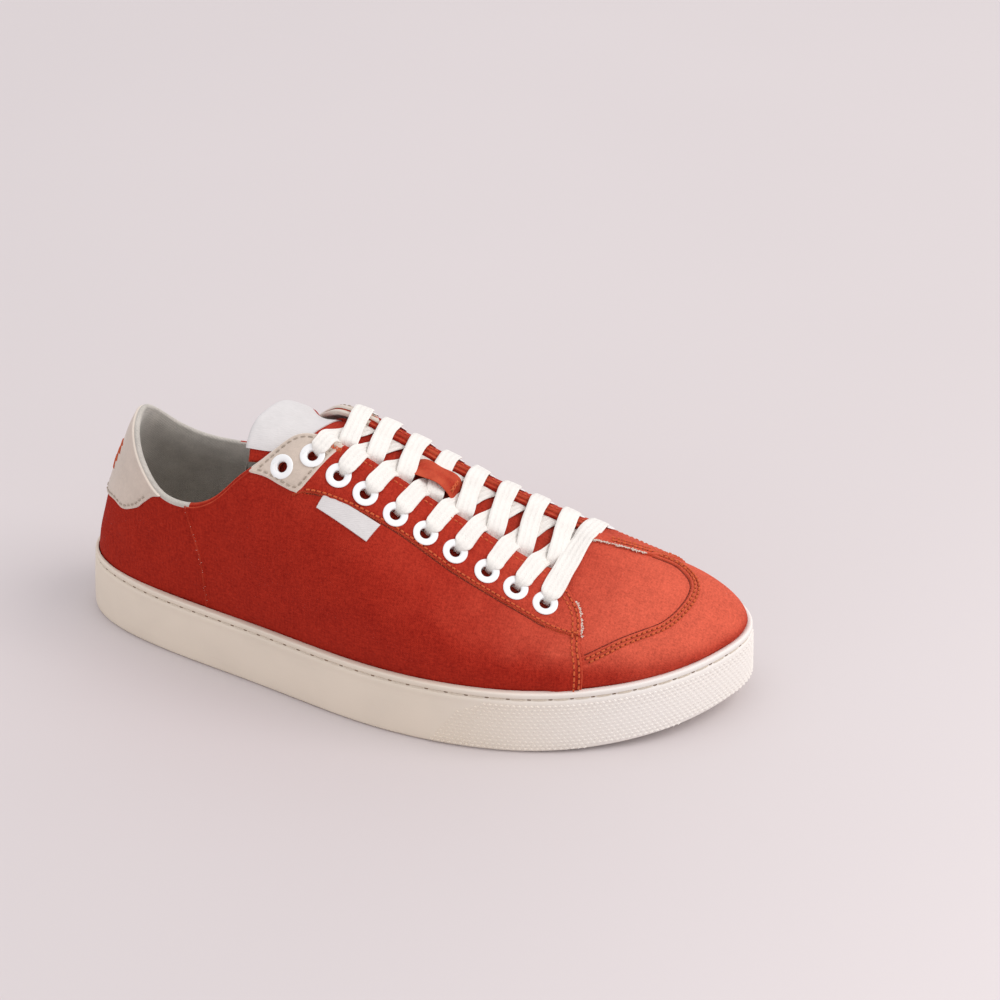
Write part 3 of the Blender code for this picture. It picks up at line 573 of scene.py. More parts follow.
class Finish:
    """A surface finish being mixed: its nodes and the ways of adding to them."""

    def __init__(self, name):
        self.material = bpy.data.materials.new(name)
        self.material.use_nodes = True
        self.nodes = self.material.node_tree.nodes
        self.place = self.node("ShaderNodeTexCoord", out="Object")

    def feed(self, socket, value):
        if isinstance(value, Wire):
            self.material.node_tree.links.new(value.socket, socket)
        elif socket.type == "RGBA":
            socket.default_value = (*tuple(value)[:3], 1.0)
        else:
            socket.default_value = value

    def node(self, kind, settings=None, values=None, out=0):
        made = self.nodes.new(kind)
        for key, value in (settings or {}).items():
            setattr(made, key, value)
        for key, value in (values or {}).items():
            self.feed(made.inputs[key], value)
        return Wire(self, made.outputs[out])

    def paint(self, colour, roughness, specular, height=None, depth=0.0, more=()):
        """Feed the shader, with a relief whose depth is in millimetres."""
        values = {"Base Color": colour, "Roughness": roughness, "Specular IOR Level": specular}
        values.update(more)
        if height:
            values["Normal"] = self.node("ShaderNodeBump", values={
                "Height": height, "Distance": depth * MM})
        for key, value in values.items():
            self.feed(self.nodes["Principled BSDF"].inputs[key], value)
        return self.material

    def split(self, vector):
        first = self.node("ShaderNodeSeparateXYZ", values={0: vector})
        return [Wire(self, socket) for socket in first.socket.node.outputs]

    def noise(self, scale, detail=2.0, rough=0.5, place=None):
        """Noise; its scale is a number, or one along each axis."""
        place = place or self.place
        if isinstance(scale, tuple):
            place = self.node("ShaderNodeVectorMath", {"operation": "MULTIPLY"},
                              {0: place, 1: scale})
            scale = 1.0
        return self.node("ShaderNodeTexNoise", values={
            "Vector": place, "Scale": scale, "Detail": detail, "Roughness": rough})

    def blend(self, first, second, share):
        return self.node("ShaderNodeMix", {"data_type": "RGBA"}, {0: share, 6: first, 7: second}, 2)

    def cloth_place(self):
        """Distance from the free edge and run along the cloth, in metres."""
        return self.node("ShaderNodeUVMap", {"uv_map": "cloth"})


def darker(colour, share):
    return tuple(c * share for c in tuple(colour)[:3])


def canvas_finish(colours):
    f = Finish("canvas cloth")
    x, y, z = f.split(f.place)
    nx, ny, nz = f.split(f.node("ShaderNodeNewGeometry", out="Normal"))
    yarn = 2.0 * math.pi / YARN_PITCH
    sx, sy, sz = ((axis * yarn).sine() for axis in (x, y, z))
    weave = sx * sy * (nz * nz) + sy * sz * (nx * nx) + sx * sz * (ny * ny)
    weft = f.noise((210.0, 1500.0, 1500.0))
    warp = f.noise((1500.0, 260.0, 260.0))
    slub = f.noise(1050.0, 3.0, 0.65)
    mottle = f.noise(85.0, 4.0, 0.6)
    tone = (weft + warp - 1.0) * 1.2 + (slub - 0.5) * 2.6 + (mottle - 0.5) * 0.8 + weave * 0.10
    base = f.blend(colours.canvas_dark, colours.canvas_light, (tone * 0.45 + 0.5).rise(-0.25, 1.25))
    # Painted highlight and wear: cloth that faces up, and more so towards the toe, turns to the
    # paler worn colour.
    worn_and_lit = nz.rise(0.15, 0.85) * (0.26 + x.rise(20.0 * MM, 95.0 * MM) * 0.42)
    worn_and_lit = worn_and_lit + x.rise(70.0 * MM, 125.0 * MM) * 0.44 + (mottle - 0.5) * 0.3
    worn_lit_colour = f.blend(darker(colours.canvas_worn_lit, 0.55), colours.canvas_worn_lit,
                     (tone * 0.65 + 0.6).rise(-0.3, 1.2))
    base = f.blend(base, worn_lit_colour, worn_and_lit.rise(0.0, 1.3))
    # The paler colour along turned edges is part wear and part painted highlight on the fold.
    edge = f.split(f.cloth_place())[0]
    edge_wear_and_highlight = (1.0 - edge.rise(0.0, 0.9 * MM)) * (mottle * 1.5)
    colour = f.blend(base, colours.canvas_edge_worn_lit, edge_wear_and_highlight.rise(0.1, 1.2))
    height = weave * 0.35 + weft + warp + slub * 1.6
    return f.paint(colour, 0.80 + mottle * 0.14, 0.08, height, 0.17)


def lining_finish(colours):
    f = Finish("collar lining")
    x, y, z = f.split(f.place)
    knit = ((x + y) * 3600.0).sine() * (z * 4200.0).sine()
    mottle = f.noise(160.0, 5.0, 0.65)
    fuzz = f.noise(1900.0)
    tone = (mottle - 0.5) * 1.2 + (fuzz - 0.5) * 0.8 + 0.5
    colour = f.blend(darker(colours.lining, 0.72), colours.lining, tone.rise(0.0, 0.9))
    height = knit * 0.3 + fuzz + mottle * 0.6
    return f.paint(colour, 0.86 + fuzz * 0.1, 0.2, height, 0.14, {"Sheen Weight": 0.2})


def suede_finish(colours):
    f = Finish("suede")
    nap = f.noise((500.0, 900.0, 500.0), 5.0, 0.7)
    cloud = f.noise(110.0, 4.0, 0.6)
    fuzz = f.noise(3000.0)
    edge = f.split(f.cloth_place())[0]
    raw = 1.0 - (edge + (cloud - 0.5) * (0.8 * MM)).rise(0.1 * MM, 0.8 * MM)
    tone = (nap - 0.5) * 0.9 + (cloud - 0.5) * 1.0 + (fuzz - 0.5) * 0.5 + 0.5
    base = f.blend(darker(colours.suede, 0.80), colours.suede, tone.rise(-0.05, 1.0))
    return f.paint(f.blend(base, (0.84, 0.77, 0.68), raw * 0.5), 0.88 + fuzz * 0.1, 0.15,
                   nap * 0.7 + fuzz * 0.6, 0.16, {"Sheen Weight": 0.35, "Sheen Roughness": 0.6})


def rubber_finish(colours):
    f = Finish("sole rubber")
    cloud = f.noise(30.0, 3.0)
    grain = f.noise(1500.0)
    scuff = f.noise((40.0, 40.0, 700.0), 4.0, 0.7)
    x, _, z = f.split(f.place)
    low = 1.0 - z.rise(0.0, 7.0 * MM)
    base = f.blend(colours.rubber, darker(colours.rubber, 0.93), cloud.rise(0.3, 0.8))
    # Painted highlight: the rubber turns lighter and whiter towards the toe.
    base = f.blend(base, colours.rubber_toe_highlight, x.rise(20.0 * MM, 120.0 * MM) * 0.85)
    grime = (scuff.rise(0.58, 0.80) * 0.25 + low * 0.14) * cloud.rise(0.2, 0.8)
    return f.paint(f.blend(base, (0.50, 0.42, 0.33), grime), 0.50 + grain * 0.08 + scuff * 0.10,
                   0.4, grain * 0.4 + scuff * 0.8, 0.06)


def enamel_finish(colours):
    f = Finish("eyelet enamel")
    grain = f.noise(900.0, 3.0)
    chips = f.noise(420.0, 4.0, 0.7)
    colour = f.blend(colours.enamel, darker(colours.enamel, 0.86), chips.rise(0.60, 0.75))
    return f.paint(colour, 0.24 + grain * 0.16, 0.5, grain, 0.02,
                   {"Coat Weight": 0.35, "Coat Roughness": 0.12})


def cotton_finish(colours):
    f = Finish("lace cotton")
    rib = (f.split(f.cloth_place())[0] * (2.0 * math.pi / RIB_PITCH)).sine()
    fuzz = f.noise(1300.0, 3.0, 0.6)
    cloud = f.noise(140.0, 3.0)
    knit = f.noise((2400.0, 900.0, 1.0), place=f.cloth_place())
    tone = fuzz * 0.5 + cloud * 0.4 + knit * 0.35 + rib * 0.06
    colour = f.blend(darker(colours.cotton, 0.86), colours.cotton, tone.rise(0.25, 0.85))
    height = rib * 0.5 + knit * 1.2 + fuzz
    return f.paint(colour, 0.84 + fuzz * 0.12, 0.25, height, 0.18, {"Sheen Weight": 0.2})


def satin_finish(colours):
    f = Finish("label satin")
    _, y, z = f.split(f.place)
    weft = ((z + y * 0.3) * 9000.0).sine()
    fuzz = f.noise((300.0, 2000.0, 2000.0), 3.0)
    cloud = f.noise(120.0, 3.0)
    colour = f.blend(darker(colours.satin, 0.90), colours.satin,
                     (fuzz * 0.6 + cloud * 0.5).rise(0.3, 0.75))
    return f.paint(colour, 0.42 + fuzz * 0.2, 0.5, weft * 0.4 + fuzz, 0.05, {"Sheen Weight": 0.15})


def thread_finish(name, colours):
    """Twisted yarn, or the shade in the hole that it goes down."""
    light, dark = {
        "rust thread": (colours.rust_thread, darker(colours.rust_thread, 0.6)),
        "pale thread": (colours.pale_thread, darker(colours.pale_thread, 0.75)),
        "tan thread": (colours.tan_thread, darker(colours.tan_thread, 0.7)),
        "suede thread": (darker(colours.suede, 0.80), darker(colours.suede, 0.60)),
        "sole thread": (colours.rubber, darker(colours.rubber, 0.85)),
        # Painted shade: the dark colours of the awl and needle holes.
        "awl hole shade": ((0.28, 0.17, 0.10), (0.16, 0.10, 0.06)),
        "needle hole shade": ((0.20, 0.024, 0.014), (0.12, 0.014, 0.009)),
    }[name]
    f = Finish(name)
    x, y, z = f.split(f.place)
    twist = ((x + y + z) * 9000.0).sine()
    fuzz = f.noise(1200.0)
    colour = f.blend(dark, light, (fuzz + twist * 0.2).rise(0.25, 0.75))
    return f.paint(colour, 0.62 + fuzz * 0.2, 0.35, twist * 0.6 + fuzz, 0.08)


def floor_finish(colour):
    f = Finish("studio floor")
    x, y, _ = f.split(f.place)
    cloud = f.noise(1.6, 3.0)
    grain = f.noise(260.0)
    base = f.blend(colour, darker(colour, 0.975), cloud.rise(0.3, 0.7))
    # Painted pool of light: the floor turns lighter towards the lower right of the view.
    near = (x * 0.93 - y * 0.37).rise(0.05, 0.55)
    return f.paint(f.blend(base, darker(colour, 1.19), near), 0.88 + grain * 0.06, 0.2)


MAKERS = {
    "canvas": canvas_finish, "lining": lining_finish, "suede": suede_finish,
    "rubber": rubber_finish, "enamel": enamel_finish, "cotton": cotton_finish,
    "satin": satin_finish,
}
FINISHES = {}


def finish_for(name):
    """The named finish, made the first time it is asked for."""
    if name not in FINISHES:
        colours = bpy.context.scene.sneaker_colours
        maker = MAKERS.get(name)
        FINISHES[name] = maker(colours) if maker else thread_finish(name, colours)
    return FINISHES[name]


# Layers on the upper ---------------------------------------------------
# Seams by section and height, from the sole up or from the ankle to the toe.
OUTER_COLLAR_SEAM = (
    (5.55, -0.10), (5.53, 0.10), (5.52, 0.213), (5.47, 0.422), (5.37, 0.566),
    (5.24, 0.676), (5.08, 0.793), (4.79, 1.0),
)
INNER_COLLAR_SEAM = (
    (32.45, -0.10), (32.47, 0.10), (32.50, 0.25), (32.56, 0.42), (32.65, 0.566),
    (32.78, 0.676), (32.92, 0.793), (33.20, 1.0),
)
OUTER_FRONT_SEAM = (
    (16.93, -0.10), (16.93, 0.0), (16.95, 0.25), (16.97, 0.475), (17.11, 0.691),
    (17.14, 0.78), (17.08, 0.872), (16.95, 0.94), (16.70, 1.0),
)
INNER_FRONT_SEAM = (
    (20.95, -0.10), (20.95, 0.0), (20.90, 0.25), (20.72, 0.45), (20.45, 0.62),
    (20.29, 0.716), (20.22, 0.793), (20.20, 0.865), (20.17, 0.93), (20.12, 1.0),
)
MUDGUARD_EDGE = (
    (16.55, 0.300), (16.99, 0.369), (17.21, 0.425), (17.43, 0.468), (17.62, 0.485),
    (17.85, 0.487), (18.10, 0.484), (18.35, 0.495), (18.61, 0.510), (18.98, 0.524),
    (19.28, 0.531), (19.52, 0.543), (19.82, 0.570), (20.05, 0.598), (20.19, 0.650),
    (20.30, 0.705), (20.50, 0.720), (20.90, 0.700), (21.45, 0.660),
)
OUTER_STAY_EDGE = (
    (10.05, 0.668), (10.60, 0.685), (11.60, 0.707), (12.30, 0.722), (13.05, 0.732),
    (14.07, 0.705), (15.00, 0.685), (15.75, 0.655), (16.35, 0.612), (16.97, 0.545),
)
INNER_STAY_EDGE = (
    (27.80, 0.640), (27.20, 0.650), (26.30, 0.660), (25.38, 0.656), (24.70, 0.645),
    (24.07, 0.635), (23.50, 0.620), (22.94, 0.600), (22.40, 0.575), (21.80, 0.555),
    (21.20, 0.540), (20.58, 0.530),
)
# Lower edge of the heel patch, from the back seam round one side.
HEEL_PATCH_HALF = (
    (0.0, 0.43), (0.6, 0.41), (1.2, 0.45), (1.85, 0.51), (2.6, 0.555),
    (3.15, 0.67), (3.4, 0.79), (3.65, 0.91), (3.95, 0.985),
)
# Patches at the ankle end of the mouth: edge below, from the ankle corner to
# the low one, and edge from there up to the mouth.
EYELET_PATCHES = {
    "outer": (((7.90, 0.985), (8.50, 0.900), (9.29, 0.769), (9.85, 0.702), (10.25, 0.676)),
              ((10.25, 0.676), (10.55, 0.718), (10.95, 0.810), (11.32, 0.929), (11.50, 0.994))),
    "inner": (((29.95, 0.985), (29.40, 0.895), (28.66, 0.765), (28.12, 0.692), (27.72, 0.655)),
              ((27.72, 0.655), (27.45, 0.705), (27.10, 0.800), (26.82, 0.925), (26.68, 0.994))),
}
SIDE_LABEL = ((11.03, 0.634), (12.41, 0.598), (12.60, 0.715), (11.24, 0.716))

WALL = 2.0 * MM
TOPLINE = 2.3 * MM
ROWS_OUT = 56
ROWS_ROLL = 9
ROWS_IN = 30
UPPER_COLUMNS = 380
TOE_TIP = 19.0
PATCH_LIFT = 0.3 * MM
STITCH_SINK = 0.12 * MM
# How deep a panel's underside lies in the cloth, and the pull of a row of stitches.
PANEL_ROOT = 0.4 * MM
DIP_DEPTH = 0.22 * MM
DIP_REACH = 0.7 * MM
COLLAR_PAD = 1.0 * MM
# Ends of the eyestays at the mouth, by section: towards the ankle and the toe.
OUTER_STAY_MOUTH = (11.30, 16.70)
INNER_STAY_MOUTH = (26.90, 20.12)
EYELET_HOLE = 2.72 * MM
PUNCH_REACH = 6 * MM
PUNCH_SIDES = 20
NEEDLE_HOLE = 0.30 * MM


def seam_at(rows, v):
    """Section of an upright seam at height v."""
    path = smooth_path(rows, 160)
    return np.interp(v, path[:, 1], path[:, 0])


def edge_gap(points, lines):
    """Distance of each point from the nearest of some lines of points."""
    flat = points.reshape(-1, 3)[:, None, :]
    best = np.full(len(flat), 1.0)
    for line in lines:
        run = np.diff(line, axis=0)
        reach = np.maximum((run * run).sum(-1), 1e-14)
        s = np.clip(((flat - line[:-1]) * run).sum(-1) / reach, 0.0, 1.0)
        apart = np.linalg.norm(flat - line[:-1] - s[..., None] * run, axis=-1)
        best = np.minimum(best, apart.min(axis=1))
    return best.reshape(points.shape[:-1])


def lay_panel(t, v, thickness, free, lift=0.0, dips=(), rounding=0.9):
    """Closed panel on the upper over a grid; free names its turned edges.

    dips gives the distances from a free edge where stitches pull it in, and
    rounding how far in the edge is rounded, in millimetres.
    """
    t, v = np.broadcast_arrays(t, v)
    base = wall_point(t, v)
    edges = {"low": base[0], "high": base[-1], "start": base[:, 0], "end": base[:, -1]}
    gap = edge_gap(base, [edges[name] for name in free])
    round_in = 1.0 - np.clip(gap / (rounding * MM), 0.0, 1.0)
    height = thickness * np.sqrt(1.0 - round_in**2)
    for offset in dips:
        height = height - DIP_DEPTH * np.exp(-(((gap - offset * MM) / DIP_REACH) ** 2))
    height = height * (0.3 + 0.7 * ramp(v, -0.01, 0.05))
    ground = relief(base) + lift
    normal = wall_normal(t, v)
    top = base + normal * (ground + height)[..., None]
    under = base + normal * (ground - PANEL_ROOT)[..., None]
    uv = np.stack([gap, np.broadcast_to(lengths(base[len(base) // 2]), gap.shape)], axis=-1)
    return (*closed_sheet(top, under), np.tile(uv.reshape(-1, 2), (2, 1)))


def tuck(t, v, thickness):
    """How much the mudguard lifts the quarter that covers its ends."""
    outer = ramp(t, 16.30, 16.62) * (t < TOE_TIP) * (1.0 - ramp(v, 0.37, 0.44))
    inner = (1.0 - ramp(t, 21.20, 21.55)) * (t > TOE_TIP) * (1.0 - ramp(v, 0.68, 0.75))
    return thickness * (outer + inner)


def beside(seam, offset, count):
    """Sections and heights along a seam moved sideways: up, where it runs towards the toe."""
    t, v = smooth_path(seam, count).T
    d = 0.01
    along = (wall_point(t + d, v) - wall_point(t - d, v)) / (2 * d)
    rise = (wall_point(t, v + d) - wall_point(t, v - d)) / (2 * d)
    run = unit(np.gradient(wall_point(t, v), axis=0))
    side = np.cross(wall_normal(t, v), run) * offset
    aa, ab, bb = (along * along).sum(-1), (along * rise).sum(-1), (rise * rise).sum(-1)
    sa, sb = (side * along).sum(-1), (side * rise).sum(-1)
    det = aa * bb - ab * ab
    return t + (sa * bb - sb * ab) / det, v + (sb * aa - sa * ab) / det


def stitch_row(seam, offset, lift, pitch, radius, start=0.0, fill=0.80, low=-1.0, high=2.0,
               holes=None):
    """Stitches beside a seam; offset and pitch in millimetres, lift a height or a function.

    low and high are heights between which they run; holes gathers needle holes, dark bits of
    painted shade.
    """
    t, v = beside(seam, offset * MM, 500)
    run = lengths(wall_point(t, v))
    pitch = pitch * MM
    first = np.arange(start * pitch, run[-1] - pitch, pitch)
    mid = np.interp(first + pitch / 2, run, v)
    first = first[(mid > low) & (mid < high)]
    ta, va = read_off(first, run, t, v)
    tb, vb = read_off(first + pitch * fill, run, t, v)
    rise = lift(ta, va) if callable(lift) else lift
    starts, ends, normals = cloth(ta, va, rise), cloth(tb, vb, rise), wall_normal(ta, va)
    # Needle holes: dark bits of painted shade at the start of each stitch.
    if holes is not None:
        back = (starts - ends) * (0.5 - 0.5 * fill) / fill
        holes.append(thread_bits(starts + back * 1.9, starts + back * 0.1, normals, NEEDLE_HOLE,
                                 lifts=NEEDLE_HOLE_LIFTS))
    return thread_bits(starts, ends, normals, radius)


def frayed(seam, lift, spacing, reach, radius, seed, low=-1.0, high=2.0):
    """Loose ends of yarn along a cut edge; spacing, reach and radius in millimetres."""
    chance = np.random.RandomState(seed)
    t, v = smooth_path(seam, 400).T
    run = lengths(wall_point(t, v))
    at = np.arange(0.0, run[-1], spacing * MM)
    at = at + chance.uniform(-0.5, 0.5, len(at)) * (spacing * MM)
    ta, va = read_off(at, run, t, v)
    keep = (va > low) & (va < high)
    ta, va = ta[keep], va[keep]
    normal = wall_normal(ta, va)
    ahead = unit(cloth(ta + 0.01, va) - cloth(ta - 0.01, va))
    count = len(ta)
    turn = chance.uniform(0.0, 2.0 * math.pi, count)[:, None]
    way = ahead * np.cos(turn) + np.cross(ahead, normal) * np.sin(turn)
    way = way + normal * chance.uniform(-0.1, 0.6, (count, 1))
    long = reach * MM * chance.uniform(0.35, 1.0, (count, 1))
    starts = cloth(ta, va, lift)
    return thread_bits(starts, starts + unit(way) * long, normal, radius * MM, sides=4,
                       lifts=LOOSE_YARN_LIFTS)


def eyelet_spots(sizes):
    """Name, section, height and seat of each eyelet."""
    spots = []
    for row, outer_t, outer_v, inner_t, inner_v in EYELETS:
        seat = eyelet_seat(row, sizes)
        spots.append(("outer_%d" % row, outer_t, outer_v, seat))
        spots.append(("inner_%d" % row, inner_t, inner_v, seat))
    return spots


def eyelet_seat(row, sizes):
    """Height of the cloth under an eyelet of that row."""
    return sizes.panel_thickness + (
        sizes.suede_thickness if row >= PATCH_ROW else sizes.stay_thickness)


def eyelet_frame(t, v):
    """Centre on the cloth, and the axes of an eyelet there."""
    axis = wall_normal(t, v)
    side = unit(np.cross(axis, np.array([0.0, 0.0, 1.0])))
    return cloth(t, v), side, np.cross(axis, side), axis


def eyelet_punch(sizes):
    """Cylinders that punch the eyelet holes."""
    parts = []
    angle = 2.0 * math.pi * np.arange(PUNCH_SIDES) / PUNCH_SIDES
    for _, t, v, _ in eyelet_spots(sizes):
        centre, side, rise, axis = eyelet_frame(t, v)
        ring = EYELET_HOLE * (side * np.cos(angle)[:, None] + rise * np.sin(angle)[:, None])
        points = np.concatenate([centre + ring - axis * PUNCH_REACH,
                                 centre + ring + axis * PUNCH_REACH])
        parts.append((points, tube_faces(2, PUNCH_SIDES)))
    return linked("eyelet_punch", solid_mesh("eyelet punch", *merged(parts)))


def even_columns(count):
    """Section positions that share out sole edge and mouth edge evenly."""
    t = np.linspace(0.0, SECTION_COUNT, 3401)
    foot, _, _, mouth = section(t)
    run = lengths(foot) + lengths(mouth)
    return np.interp(np.linspace(0.0, run[-1], count, endpoint=False), run, t)


def build_upper():
    """Vamp and wall of the upper in one shell with its rolled topline and lining."""
    t = even_columns(UPPER_COLUMNS)
    v_out = np.concatenate([[-0.9, -0.45, -0.2, -0.06], np.linspace(0.0, 1.0, ROWS_OUT - 4)])
    outside = cloth(t, v_out[:, None])
    mouth, normal = wall_point(t, 1.0), wall_normal(t, 1.0)
    up = unit(mouth - wall_point(t, 0.97))
    turn = np.linspace(0.0, math.pi, ROWS_ROLL + 2)[1:-1]
    roll = [outside[-1] - normal * TOPLINE / 2
            + normal * TOPLINE / 2 * math.cos(a) + up * TOPLINE / 2 * math.sin(a) for a in turn]
    v_in = np.concatenate([np.linspace(1.0, 0.0, ROWS_IN - 2), [-0.4, -0.9]])[:, None]
    from_heel = np.minimum(t, SECTION_COUNT - t)
    collar = 1.0 - ramp(from_heel, 6.5, 8.5)
    pad = COLLAR_PAD * collar * ramp(v_in, 0.60, 0.85) * (1.0 - ramp(v_in, 0.93, 1.0))
    wall = WALL + (TOPLINE - WALL) * ramp(v_in, 0.9, 1.0) + pad
    inside = cloth(t, v_in) - wall_normal(t, v_in) * wall[..., None]
    inside[-1, :, 2] = outside[0, :, 2]
    rings = np.concatenate([outside, np.array(roll), inside])
    rows = len(rings)
    row = np.arange(rows)[:, None]
    patched = ((t > 7.95) & (t < 11.4)) | ((t > 26.8) & (t < 29.9))
    lined = np.where(from_heel < 4.85, ROWS_OUT - 3, ROWS_OUT + ROWS_ROLL * 0.55)
    lined = lined + ROWS_ROLL * (from_heel > 8.2) * 0.3
    which = ((row > lined) & (row < rows - 1)).astype(int)
    which = np.where(patched & (row > ROWS_OUT - 3) & (row <= lined), 2, which)
    uv = np.zeros((rows, len(t), 2))
    uv[..., 0] = np.linalg.norm(rings - rings[ROWS_OUT + 2], axis=-1)
    uv[..., 1] = lengths(mouth)[None, :]
    faces = grid_faces(rows, len(t), close_rows=True, close_cols=True)
    return build_piece("upper_shell", (rings, faces, uv.reshape(-1, 2)), "canvas", "lining",
                       "suede", nodes=["upper"], which=which.ravel())


def build_quarter(side, collar_seam, front_seam, sizes):
    v = -0.12 + (0.992 + 0.12) * clustered(58)[:, None]
    a = clustered(170)[None, :]
    t = seam_at(collar_seam, v) * (1.0 - a) + seam_at(front_seam, v) * a
    thick = sizes.panel_thickness * (0.55 + 0.45 * ramp(a, 0.0, 0.2))
    shape = lay_panel(t, v, thick, ("start", "end", "high"),
                      tuck(t, v, sizes.mudguard_thickness), dips=(1.6,))
    return build_piece("quarter_" + side, shape, "canvas")


def build_mudguard(sizes):
    t, v = smooth_path(MUDGUARD_EDGE, 210).T
    k = np.arange(len(t))
    ragged = 0.0012 * np.sin(k * 1.9) * np.sin(k * 0.37)
    v = -0.12 + (v + ragged + 0.12) * clustered(34)[:, None]
    shape = lay_panel(t, v, sizes.mudguard_thickness, ("high",), dips=(1.4, 3.1), rounding=0.55)
    build_piece("mudguard", shape, "canvas")


def build_eyestay(side, edge_rows, front_seam, mouth, sizes):
    a = clustered(170)[None, :]
    t_edge, v_edge = smooth_path(edge_rows, 500).T
    share = lengths(wall_point(t_edge, v_edge))
    t_low, v_low = read_off(a, share / share[-1], t_edge, v_edge)
    v_low = v_low + 0.0022 * np.sin(a * 210.0) * np.sin(a * 37.0)
    b = clustered(24)[:, None]
    v = v_low + (0.994 - v_low) * b
    line = t_low * (1.0 - b) + (mouth[0] + (mouth[1] - mouth[0]) * a) * b
    t = line + ramp(a, 0.80, 1.0) * (seam_at(front_seam, v[:, -1:]) - line[:, -1:])
    shape = lay_panel(t, v, sizes.stay_thickness, ("low", "end", "high"), sizes.panel_thickness,
                      dips=(1.5,), rounding=0.7)
    return build_piece("eyestay_strip_" + side, shape, "canvas", nodes=["eyestay_" + side])


def spread(seam, count):
    """Rows along a seam that crowd towards its ends."""
    t, v = smooth_path(seam, 400).T
    run = lengths(wall_point(t, v))
    return np.stack(read_off(clustered(count) * run[-1], run, t, v), axis=1)


def spanned(low, high, start, end, columns, rows):
    """Sections and heights over the field between four edges."""
    low, high = spread(low, columns), spread(high, columns)
    start, end = spread(start, rows), spread(end, rows)
    a, b = clustered(columns)[None, :, None], clustered(rows)[:, None, None]
    grid = (1 - b) * low + b * high + (1 - a) * start[:, None] + a * end[:, None]
    grid -= (1 - b) * ((1 - a) * low[0] + a * low[-1]) + b * ((1 - a) * high[0] + a * high[-1])
    return grid[..., 0], grid[..., 1]


def build_eyelet_patch(side, sizes):
    low, toe = EYELET_PATCHES[side]
    ankle = (low[0][0], 0.994)
    t, v = spanned(low, (ankle, toe[-1]), (low[0], ankle), toe, 70, 40)
    shape = lay_panel(t, v, sizes.suede_thickness, ("low", "high", "start", "end"),
                      sizes.panel_thickness + PATCH_LIFT, dips=(1.8,))
    return build_piece("eyelet_patch_suede_" + side, shape, "suede",
                       nodes=["eyelet_patch_" + side])


def both_sides(half):
    """Rows round the heel from those of one side."""
    half = np.array(half)
    return np.concatenate([half[:0:-1] * [-1.0, 1.0], half])


def build_heel_patch(sizes):
    t, v = smooth_path(both_sides(HEEL_PATCH_HALF), 190).T
    v = v + (0.996 - v) * clustered(34)[:, None]
    shape = lay_panel(t, v, sizes.suede_thickness, ("low", "high"), dips=(1.8,))
    build_piece("heel_patch_suede", shape, "suede", nodes=["heel_patch"])


def build_panels(sizes):
    """Every layer of the upper, and the eyelet holes through them."""
    punched = [
        build_upper(),
        build_quarter("outer", OUTER_COLLAR_SEAM, OUTER_FRONT_SEAM, sizes),
        build_quarter("inner", INNER_COLLAR_SEAM, INNER_FRONT_SEAM, sizes),
        build_eyestay("outer", OUTER_STAY_EDGE, OUTER_FRONT_SEAM, OUTER_STAY_MOUTH, sizes),
        build_eyestay("inner", INNER_STAY_EDGE, INNER_FRONT_SEAM, INNER_STAY_MOUTH, sizes),
    ]
    build_mudguard(sizes)
    build_heel_patch(sizes)
    punched += [build_eyelet_patch(side, sizes) for side in EYELET_PATCHES]
    cut(punched, eyelet_punch(sizes))


def build_side_label(sizes):
    low_start, low_end, high_end, high_start = (np.array(c) for c in SIDE_LABEL)
    a = clustered(44)[None, :, None]
    b = clustered(20)[:, None, None]
    low, high = low_start * (1 - a) + low_end * a, high_start * (1 - a) + high_end * a
    grid = low * (1 - b) + high * b
    flap = 0.35 * MM * (1.0 - b[..., 0]) * (1.0 + 0.4 * np.sin(9.0 * a[..., 0]))
    shape = lay_panel(grid[..., 0], grid[..., 1], 0.5 * MM, ("low", "start", "end"),
                      sizes.panel_thickness + flap, rounding=0.35)
    build_piece("side_label_satin", shape, "satin", nodes=["side_label"])


def patch_outline(side, inset):
    """Closed line inside the edges of an eyelet patch."""
    low, toe = EYELET_PATCHES[side]
    lines = [np.stack(beside(seam, inset, 120), axis=1)
             for seam in (low, toe, (toe[-1], (low[0][0], 0.990)))]
    for k in (0, 1, 2):
        first, second = lines[k], lines[(k + 1) % 3]
        near = np.linalg.norm((first[60:, None] - second[None, :60]) * [1.0, 6.0], axis=-1)
        i, j = np.unravel_index(np.argmin(near), near.shape)
        lines[k], lines[(k + 1) % 3] = first[:60 + i + 1], second[j:]
    return np.concatenate([line[::4] for line in lines])


def bar_tack(t, v, lift):
    """Close zigzag that locks a corner."""
    ta = t + 0.035 * (np.arange(9) - 4) * np.sign(TOE_TIP - t)
    starts = cloth(ta, v - 0.016, lift + 0.1 * MM)
    ends = cloth(ta + 0.01, v + 0.016, lift + 0.1 * MM)
    return thread_bits(starts, ends, wall_normal(ta, v), 0.28 * MM)


def heel_zigzag(lift):
    """Plain satin-stitch zigzag up the back of the heel patch."""
    k = np.arange(36)
    v = 0.60 + 0.17 * k / k[-1]
    wave = np.abs((k / 6.0) % 2.0 - 1.0) * 0.44 + 0.30
    starts = cloth(wave - 0.13, v, lift + 0.05 * MM)
    ends = cloth(wave + 0.13, v + 0.006, lift + 0.05 * MM)
    return thread_bits(starts, ends, wall_normal(wave, v), 0.34 * MM)


